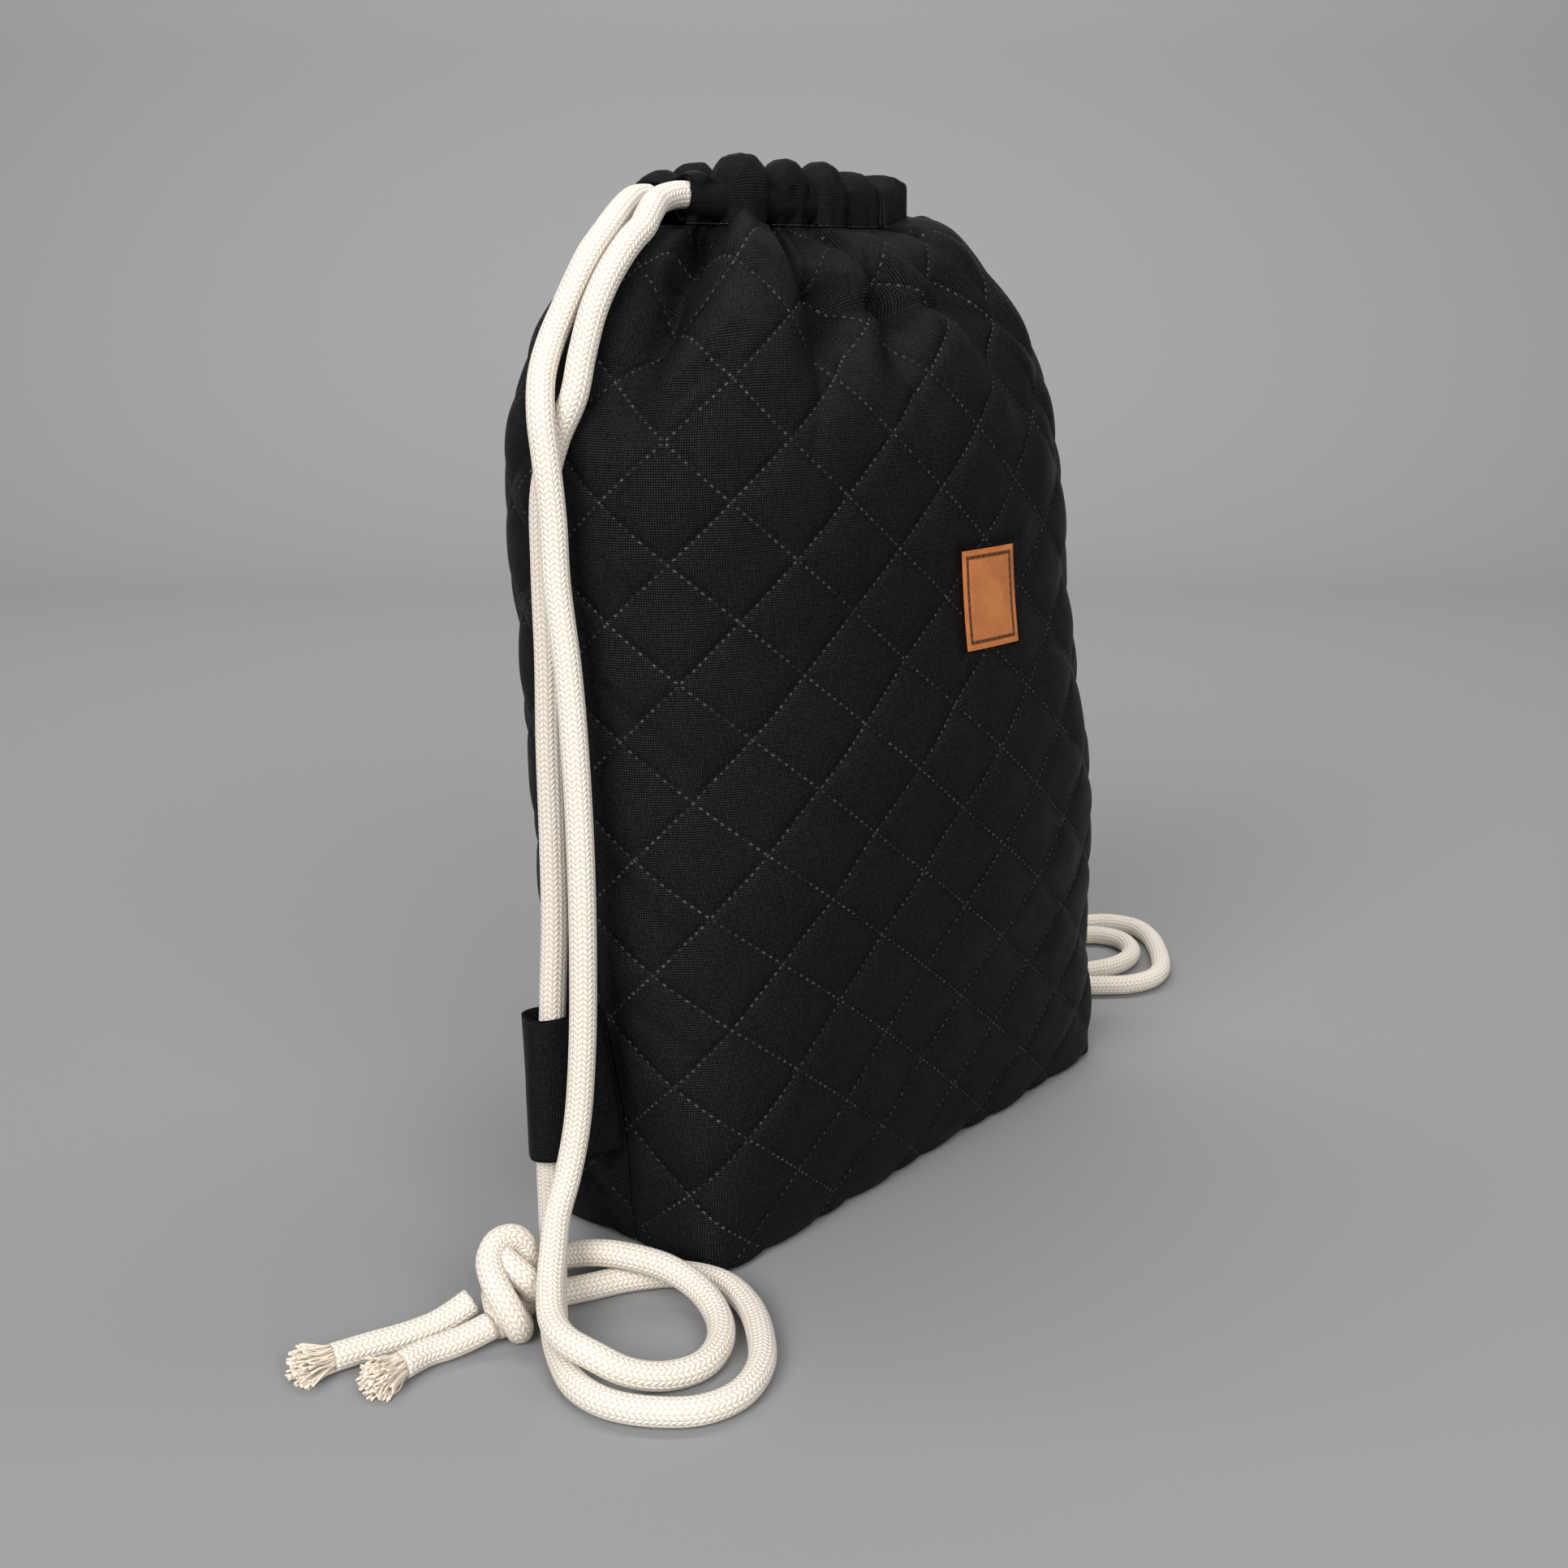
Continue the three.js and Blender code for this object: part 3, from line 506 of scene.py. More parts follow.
def sectionColumn(name, height):
    rows = sectionTable
    heights = rows[:, 0]
    values = rows[:, sectionNames.index(name)]
    h = np.atleast_1d(np.asarray(height, dtype=float))
    i = np.clip(np.searchsorted(heights, h, side="left") - 1, 0, len(rows) - 2)
    before, after = np.maximum(i - 1, 0), np.minimum(i + 2, len(rows) - 1)
    span = heights[i + 1] - heights[i]
    t = np.clip((h - heights[i]) / span, 0, 1)
    slopeLow = (values[i + 1] - values[before]) / np.maximum(heights[i + 1] - heights[before], 1e-6)
    slopeHigh = (values[after] - values[i]) / np.maximum(heights[after] - heights[i], 1e-6)
    return (
        (2 * t**3 - 3 * t**2 + 1) * values[i]
        + (t**3 - 2 * t**2 + t) * span * slopeLow
        + (3 * t**2 - 2 * t**3) * values[i + 1]
        + (t**3 - t**2) * span * slopeHigh
    )


# Places of a section's own points in the bag's frame
def sectionToBag(x, y, height):
    twist = np.radians(sectionColumn("twist", height))
    shoulder = smoothStep(x, bagShape["shoulderStart"], bagShape["shoulderEnd"])
    rise = bagShape["shoulderRise"] * shoulder * smoothStep(height, 0.92, 1)
    return np.stack([
        x * np.cos(twist) - y * np.sin(twist) + sectionColumn("leanX", height) * halfWidth,
        x * np.sin(twist) + y * np.cos(twist) + sectionColumn("leanY", height) * halfDepth,
        np.asarray(height) * bagShape["panelHeight"] + rise,
    ], axis=-1)


# Outer face of a panel without folds, on a grid of heights and shares across
def smoothGrid(side, heights, across):
    angles = np.linspace(0, math.pi, 721)
    c, s = np.cos(angles), np.sin(angles)
    out = np.zeros((len(heights), len(across), 3))
    for row, height in enumerate(heights):
        power = sectionColumn("squareness", height)[0]
        radius = (np.abs(c) ** power + np.abs(s) ** power) ** (-1 / power)
        x = -sectionColumn("width", height)[0] * halfWidth * c * radius
        y = -sectionColumn("depth", height)[0] * halfDepth * s * radius
        lengths = np.concatenate([[0], np.cumsum(np.hypot(np.diff(x), np.diff(y)))])
        target = across * lengths[-1]
        px, py = np.interp(target, lengths, x), np.interp(target, lengths, y)
        out[row] = sectionToBag(px, side * (bagShape["seamGap"] / 2 - py), height)
    return out


# Length of cloth from the base up to a height, in millimetres, along the middle of a panel
def clothUp(height):
    heights = np.linspace(0, 1, 241)
    line = smoothGrid(-1, heights, np.array([0.5]))[:, 0]
    lengths = lengthsAlong(line)
    even = panelLook["evenUpTo"]
    calm = np.interp(even, heights, lengths) - even * bagShape["panelHeight"]
    return np.interp(height, heights, lengths - calm)


def gridNormals(points, side):
    along = np.gradient(points, axis=1)
    upward = np.gradient(points, axis=0)
    normals = np.cross(along, upward) * -side
    return normals / np.maximum(np.linalg.norm(normals, axis=2, keepdims=True), 1e-9)


# Depth of the wide folds, in millimetres
def foldDepth(folds, across, height):
    depth = np.zeros(np.broadcast(across, height).shape)
    for acrossTop, acrossEnd, reach, deep, top, end in folds:
        along = np.clip((height - end) / (top - end), -1, 2)
        middle = acrossEnd + (acrossTop - acrossEnd) * along
        rise = smoothStep(height, 2 * end - top, top)
        ease = 1 - 0.5 * smoothStep(height, top, 1)
        depth = depth + deep * halfDepth * rise * ease * np.exp(-(((across - middle) / reach) ** 2))
    return depth


# How far the pleats stand out or in, in millimetres
def pleatPush(pleats, across, height):
    push = 0.0
    for acrossTop, acrossEnd, widthTop, widthEnd, out, end in pleats:
        t = (1 - height) / (1 - end)
        middle = acrossTop + (acrossEnd - acrossTop) * t
        width = widthTop + (widthEnd - widthTop) * np.clip(t, 0, 1.5)
        push = push + out * (1 - smoothStep(t, 0.2, 1.2)) * np.exp(-(((across - middle) / width) ** 2))
    return push


# Value noise on a plane, seeded, for soft creases
def planeNoise(u, v, scale, seed):
    rng = np.random.RandomState(seed)
    table = rng.rand(64, 64)
    x, y = u / scale + 17.3, v / scale + 9.1
    i, j = np.floor(x).astype(int), np.floor(y).astype(int)
    fx, fy = x - i, y - j
    fx, fy = fx * fx * (3 - 2 * fx), fy * fy * (3 - 2 * fy)

    def corner(a, b):
        return table[(i + a) % 64, (j + b) % 64]

    low = corner(0, 0) * (1 - fx) + corner(1, 0) * fx
    high = corner(0, 1) * (1 - fx) + corner(1, 1) * fx
    return (low * (1 - fy) + high * fy) * 2 - 1


# The panels' mesh and cloth: lengths in millimetres, the rest shares and factors
panelLook = {
    "fineStep": 4,
    "columns": 232,
    "rows": 240,
    "baseRows": 12,
    "puff": 2.2,
    "puffEdge": 4.6,
    "baseRadius": 3.0,
    "footShare": 0.3,
    "footHeight": 2.2,
    "lowestRow": 0.006,
    "rowCrowding": 1.25,
    "panelWidth": 333.0,
    "wrinkle": 1.2,
    "gather": 1.4,
    "foldGain": 1.25,
    "flare": 5.5,
    "evenUpTo": 0.78,
    "backOffset": 400.0,
    "floorGap": 0.35,
}
labelShape = {
    "width": 33.0,
    "height": 40.0,
    "thickness": 1.8,
    "middle": 243.0,
    "across": 0.594,
    "gap": 0.4,
    "crown": 0.25,
    "columns": 44,
    "rows": 52,
}

# Sharp creases in the cloth: start and end across and up, depth and width in millimetres
frontCreases = (
    (0.41, 0.94, 0.66, 0.925, 7.0, 6.5),
    (0.56, 0.965, 0.8, 0.9, 2.5, 5.0),
    (0.24, 0.9, 0.1, 0.8, 3.0, 7.0),
    (0.36, 0.9, 0.33, 0.78, 2.0, 9.0),
    (0.47, 0.9, 0.52, 0.78, 2.4, 9.0),
    (0.72, 0.9, 0.84, 0.76, 2.4, 8.0),
    (0.05, 0.6, 0.2, 0.47, 2.0, 8.0),
    (0.04, 0.42, 0.17, 0.3, 2.2, 8.0),
    (0.05, 0.27, 0.16, 0.2, 1.8, 7.0),
)
backCreases = (
    (0.3, 0.94, 0.5, 0.93, 3.5, 6.0),
    (0.7, 0.9, 0.84, 0.76, 2.4, 8.0),
    (0.26, 0.88, 0.16, 0.74, 2.4, 8.0),
    (0.95, 0.5, 0.82, 0.38, 2.0, 8.0),
)


# How far the quilted squares stand proud, in millimetres
def quiltPuff(across, upward):
    p = (across * mm - quiltLook["firstAcross"]) / quiltLook["acrossStep"]
    q = (upward * mm - quiltLook["firstUp"]) / quiltLook["upStep"]
    side = math.hypot(quiltLook["acrossStep"], quiltLook["upStep"]) / mm
    puff = 1.0
    for share in ((p + q) / 2, (p - q) / 2):
        offset = np.abs(share - np.round(share)) * side
        puff = puff * (1 - np.exp(-offset / panelLook["puffEdge"]))
    return puff * panelLook["puff"]


# Depth of the creases at places in millimetres over the cloth
def creaseDepth(creases, across, upward):
    depth = 0.0
    for acrossA, heightA, acrossB, heightB, deep, width in creases:
        size = np.array((panelLook["panelWidth"], bagShape["panelHeight"]))
        start = size * (acrossA, heightA)
        run = size * (acrossB, heightB) - start
        length = np.hypot(*run)
        along = ((across - start[0]) * run[0] + (upward - start[1]) * run[1]) / length**2
        offset = ((across - start[0]) * -run[1] + (upward - start[1]) * run[0]) / length
        ends = smoothStep(along, -0.1, 0.25) * (1 - smoothStep(along, 0.7, 1.1))
        shape = np.exp(-np.abs(offset / (width * np.where(offset > 0, 0.45, 1.0))))
        depth = depth + deep * ends * shape
    return depth


# Push of the cloth's outer face out of the smooth section, in millimetres
def clothPush(side, across, height, folds, pleats, creases, seed):
    u, v = across * panelLook["panelWidth"], height * bagShape["panelHeight"]
    nearSeam = np.minimum(across, 1 - across)
    calm = smoothStep(nearSeam, 0, 0.12)
    seamCalm = smoothStep(nearSeam, 0, 0.03)
    pleated = pleatPush(pleats, across, height)
    flare = np.clip(0.5 + pleated / 7.0, 0, 1.25) * smoothStep(height, 0.95, 1.0)
    folded = panelLook["foldGain"] * foldDepth(folds, across, height)
    push = (pleated + panelLook["flare"] * flare - folded) * calm
    wrinkles = planeNoise(u + 0.6 * v, v, 38.0, seed)
    wrinkles = wrinkles + 0.5 * planeNoise(u - 0.4 * v, v, 17.0, seed + 1)
    gathers = planeNoise(u, v * 0.3, 9.0, seed + 2) * smoothStep(height, 0.86, 1.0)
    puff = quiltPuff(u, clothUp(height)) * (1 - 0.5 * smoothStep(height, 0.9, 1.0))
    soft = wrinkles * panelLook["wrinkle"] + gathers * panelLook["gather"] + puff
    soft = soft - creaseDepth(creases, u, v) * (1 - smoothStep(height, 0.975, 1.0))
    if side < 0:
        fromLabel = np.maximum(
            np.abs(u - labelShape["across"] * panelLook["panelWidth"]) - labelShape["width"] / 2,
            np.abs(v - labelShape["middle"]) - labelShape["height"] / 2,
        )
        soft = soft * smoothStep(fromLabel, -0.5, 6.0)
    return push + soft * seamCalm - 0.4


# A padded panel with its half of the base, folded and quilted, with a coarser wall inside
def makePanel(name, node, side, folds, pleats, creases, seed):
    rows, columns = panelLook["rows"], panelLook["columns"]
    lowest = panelLook["lowestRow"]
    share = 1 - np.linspace(1, 0, rows) ** panelLook["rowCrowding"]
    heights = np.concatenate([[0.0], lowest + (1 - lowest) * share])
    across = np.linspace(0, 1, columns + 1)
    smooth = smoothGrid(side, heights, across)
    normals = gridNormals(smooth, side)
    acrossGrid, heightGrid = np.meshgrid(across, heights)
    normals[..., 2] *= 1 - smoothStep(heightGrid, 0.98, 1)
    normals /= np.linalg.norm(normals, axis=2, keepdims=True)
    push = clothPush(side, acrossGrid, heightGrid, folds, pleats, creases, seed)
    points = smooth + normals * push[..., None]
    level = normals * (1, 1, 0)
    level /= np.maximum(np.linalg.norm(level, axis=2, keepdims=True), 1e-9)
    points[0] = smooth[0] + (points[1] - smooth[1]) * panelLook["footShare"]
    points[0] -= level[0] * panelLook["baseRadius"]
    points[1, :, 2] = np.maximum(points[1, :, 2], panelLook["footHeight"])
    halfSeam = halfWidth - panelLook["baseRadius"]
    seamLine = np.full(columns + 1, side * bagShape["seamGap"] / 2)
    seam = sectionToBag((2 * across - 1) * halfSeam, seamLine, 0.0)
    seam[:, 1] += bagShape["baseSeamBow"] * (1 - (2 * across - 1) ** 2)
    shares = np.linspace(0, 1, panelLook["baseRows"], endpoint=False)
    inner = np.stack([seam + (points[0] - seam) * t for t in shares])
    points[0, :, 2] = inner[..., 2] = panelLook["floorGap"]
    allPoints = np.concatenate([inner, points])
    allNormals = np.concatenate([np.broadcast_to((0.0, 0.0, -1.0), inner.shape), normals])
    baseV = (shares - 1)[:, None] * bagShape["baseDepth"] / 2 * np.ones(columns + 1)
    u = np.broadcast_to(across * panelLook["panelWidth"], allPoints.shape[:2])
    u = u + (panelLook["backOffset"] if side > 0 else 0)
    uv = np.stack([u, np.concatenate([baseV, clothUp(heightGrid)])], axis=-1) * mm
    bm = bmesh.new()
    outer = gridInto(bm, allPoints * mm, uv)
    wall = bagShape["wall"]
    inside = allPoints - allNormals * wall
    inside[..., 2] = np.maximum(inside[..., 2], panelLook["floorGap"] + wall)
    inside[:, (0, -1), 1] = allPoints[:, (0, -1), 1]
    inside[:, (0, -1), 0] = allPoints[:, (0, -1), 0] + np.array((1, -1)) * wall
    step = panelLook["fineStep"]
    back = gridInto(bm, inside[::step, ::step] * mm, uv[::step, ::step])
    borders = (
        (outer[0], back[0], False),
        (outer[-1], back[-1], True),
        ([row[0] for row in outer], [row[0] for row in back], True),
        ([row[-1] for row in outer], [row[-1] for row in back], False),
    )
    for fine, coarse, flip in borders:
        for i in range(len(coarse) - 1):
            ring = fine[i * step : (i + 1) * step + 1] + [coarse[i + 1], coarse[i]]
            bm.faces.new(ring[::-1] if flip else ring)
    panelEdges[side] = points[-1]
    piece = addPiece(name, bm, quiltMaterial, [node])


panelEdges = {}
makePanel("frontPanel", "front_panel", -1, frontFolds, frontPleats, frontCreases, 3)
makePanel("backPanel", "back_panel", 1, backFolds, backPleats, backCreases, 11)
print("panels done")

# Gathered tunnels. A lobe is a rounded pleat of the top edge: its middle and half width along the
# tunnel, -1 to 1, and its height in millimetres over the plain edge.
tunnelShape = {
    "height": 21.0,
    "thickness": 19.0,
    "hem": 1.6,
    "reach": 47.0,
    "shift": -12.0,
    "spread": 10.5,
    "bow": 6.0,
    "valley": -7.0,
    "swell": 2.4,
    "waist": 2.6,
    "pinch": 3.4,
    "cordRoom": 7.4,
    "cordSag": 2.4,
    "cordEnds": 0.86,
    "cordSteps": 60,
    "slant": 5.0,
    "calmFrom": 0.72,
    "evenBulge": 0.7,
    "fullLobe": 4.0,
    "endDrop": 2.0,
    "roughUp": 0.6,
    "roughOut": {"outer": 0.9, "inner": 0.4},
    "girth": 66.0,
    "clothRun": 165.0,
    "noiseRun": 60.0,
    "steps": 176,
    "sides": 44,
}
frontLobes = (
    (-0.88, 0.17, -1.6), (-0.51, 0.23, 5.2), (-0.06, 0.19, 3.4), (0.36, 0.19, 3.4), (0.78, 0.22, 1.2),
    (1.2, 0.26, -2.4),
)
backLobes = (
    (-0.82, 0.2, -0.6), (-0.42, 0.19, 3.2), (-0.02, 0.2, 4.0), (0.4, 0.2, 3.0), (0.82, 0.24, 0.0),
)


# Middle line of a tunnel
def tunnelMiddle(side, along):
    bow = tunnelShape["spread"] + tunnelShape["bow"] * (1 - along**2)
    across = along * tunnelShape["reach"] + tunnelShape["shift"]
    middle = sectionToBag(across, side * bow, np.ones_like(along))
    middle[..., 2] += bagShape["seamGap"] + tunnelShape["height"] / 2
    return middle


def lobeHeight(lobes, along):
    valley, drop = tunnelShape["valley"], tunnelShape["endDrop"]
    top = np.full(along.shape, valley - drop * along**2)
    for middle, halfSpan, high in lobes:
        offset = np.clip(np.abs((along - middle) / halfSpan), 0, 1)
        cap = np.sqrt(1 - offset**2)
        top = np.maximum(top, valley - drop + (high - valley + drop) * cap)
    return top


# An open sleeve of cloth between an outer and an inner wall, with U and V in millimetres
def makeSleeve(name, node, walls, u, v, material):
    shape = (len(walls[0]), walls[0].shape[1] + 1)
    uv = np.stack([np.broadcast_to(u, shape), np.broadcast_to(v, shape)], axis=-1) * mm
    bm = bmesh.new()
    outer, inner = [gridInto(bm, points * mm, uv, closed=True) for points in walls]
    for row in (0, -1):
        for j in range(len(outer[row])):
            bm.faces.new([outer[row][j - 1], outer[row][j], inner[row][j], inner[row][j - 1]])
    addPiece(name, bm, material, [node])


# How far the panel's gathered edge lies from points along the tunnel's middle, to the outside
def edgeReach(edge, middle, tangent, normal):
    reach = []
    for place, ahead, outward in zip(middle, tangent, normal):
        reach.append(np.interp(0, (edge - place) @ ahead, (edge - place) @ outward))
    return np.array(reach)[:, None]


# A gathered tunnel. Its grids run along it by rows and round it by columns.
def makeTunnel(name, node, side, lobes, rightReach, seed):
    steps, sides = tunnelShape["steps"], tunnelShape["sides"]
    along = np.linspace(-1, rightReach, steps + 1)
    middle = tunnelMiddle(side, along)
    tangent = np.gradient(middle, axis=0)
    tangent[:, 2] = 0
    tangent /= np.linalg.norm(tangent, axis=1, keepdims=True)
    normal = np.stack([tangent[:, 1], -tangent[:, 0], 0 * tangent[:, 0]], axis=-1) * -side
    reach = edgeReach(panelEdges[side], middle, tangent, normal)
    along = along[:, None]
    top = lobeHeight(lobes, along)
    even, valley = tunnelShape["evenBulge"], tunnelShape["valley"]
    bulge = np.clip((top - valley) / (tunnelShape["fullLobe"] - valley), 0, 1)
    bulge = even + (bulge - even) * (1 - smoothStep(np.abs(along), tunnelShape["calmFrom"], 1.0))
    turn = np.linspace(0, 2 * math.pi, sides, endpoint=False)[None]
    up, out = -np.cos(turn), np.sin(turn)
    upperHalf = np.maximum(up, 0)
    u, around = along * tunnelShape["noiseRun"] + 0 * turn, 3 * turn + 0 * along
    rough = planeNoise(u, around, 6.0, seed) + 0.5 * planeNoise(u, 3 * around, 2.6, seed + 1)
    low = ((1 - up) / 2) ** 0.9
    pinch = tunnelShape["swell"] * bulge
    pinch = pinch - (1 - bulge) * (tunnelShape["waist"] + tunnelShape["pinch"] * up**2)
    sag = tunnelShape["cordSag"] * (1 - np.clip(along, -1, 1) ** 4)
    slant = tunnelShape["slant"] * upperHalf**2 * smoothStep(along, 1.0, rightReach)
    walls = []
    for which, wall in (("outer", 0.0), ("inner", tunnelShape["hem"])):
        halfHeight = tunnelShape["height"] / 2 - wall
        halfThick = tunnelShape["thickness"] / 2 - wall
        swell = (halfThick * np.abs(out) ** 0.85 + pinch) * np.sign(out)
        plain = np.where(up < 0, halfThick + pinch, swell)
        toEdge = (1 - low) * plain + low * (reach - wall)
        room = tunnelShape["cordRoom"] - wall
        hollow = room * np.sqrt(np.clip(1 - ((up * halfHeight + sag) / room) ** 2, 0, 1))
        across = np.where(out >= -1e-9, np.maximum(toEdge, hollow), np.minimum(swell, -hollow))
        across = across + tunnelShape["roughOut"][which] * rough * np.maximum(out, 0) * (1 - low)
        points = middle[:, None] + normal[:, None] * across[..., None]
        points -= tangent[:, None] * slant[..., None]
        points[..., 2] += up * halfHeight + upperHalf**1.5 * top
        points[..., 2] += tunnelShape["roughUp"] * rough * upperHalf
        walls.append(points)
    girth = np.linspace(0, tunnelShape["girth"], sides + 1)
    makeSleeve(name, node, walls, along * tunnelShape["clothRun"], girth, hemMaterial)


makeTunnel("frontTunnel", "front_tunnel", -1, frontLobes, 1.4, 21)
makeTunnel("backTunnel", "back_tunnel", 1, backLobes, 1.1, 31)
print("tunnels done")

# Side tabs
tabShape = {
    "height": 56.0,
    "bottom": 44.0,
    "reach": 37.0,
    "breadth": 19.0,
    "thickness": 1.5,
    "turn": 32.0,
    "gap": 1.2,
    "rootShare": 0.6,
    "ripple": 0.35,
    "girth": 85.0,
    "sides": 56,
    "rows": 34,
}


# A side's tab, a loop of cloth standing out from the seam
def makeTab(name, node, end, seed):
    turn = math.radians(tabShape["turn"])
    outwards = np.array([end * math.cos(turn), math.sin(turn), 0.0])

    def seamAt(z):
        height = z / bagShape["panelHeight"]
        x = end * sectionColumn("width", height) * halfWidth
        place = sectionToBag(x, np.array([-bagShape["seamGap"] / 2]), height)[0]
        place[2] = z
        return place

    tip = seamAt(tabShape["bottom"]) + outwards * tabShape["reach"]
    angles = np.linspace(0, 2 * math.pi, tabShape["sides"], endpoint=False)
    along = (1 - np.cos(angles)) / 2
    bulge = np.sign(np.sin(angles)) * np.abs(np.sin(angles)) ** 0.6
    breadth = tabShape["rootShare"] + (1 - tabShape["rootShare"]) * along
    walls = []
    for wall in (0.0, tabShape["thickness"]):
        rows = []
        for share in np.linspace(0, 1, tabShape["rows"] + 1):
            z = tabShape["bottom"] + share * tabShape["height"]
            root = seamAt(z) + outwards * tabShape["gap"]
            forwards = np.array([tip[0], tip[1], z]) - root
            length = np.linalg.norm(forwards)
            sideways = np.array([-forwards[1], forwards[0], 0.0]) / length
            half = tabShape["breadth"] / 2 * breadth - wall
            reach = wall / length + along * (1 - 2 * wall / length)
            ripple = planeNoise(angles * 9, np.full_like(angles, z), 11.0, seed)
            aside = bulge * half + tabShape["ripple"] * ripple
            rows.append(root + forwards * reach[:, None] + sideways * aside[:, None])
        walls.append(np.array(rows))
    u = np.linspace(0, tabShape["girth"], tabShape["sides"] + 1)
    v = np.linspace(0, tabShape["height"], tabShape["rows"] + 1)[:, None]
    makeSleeve(name, node, walls, u, v, plainMaterial)


makeTab("leftTab", "left_tab", -1, 5)
makeTab("rightTab", "right_tab", 1, 6)
print("tabs done")

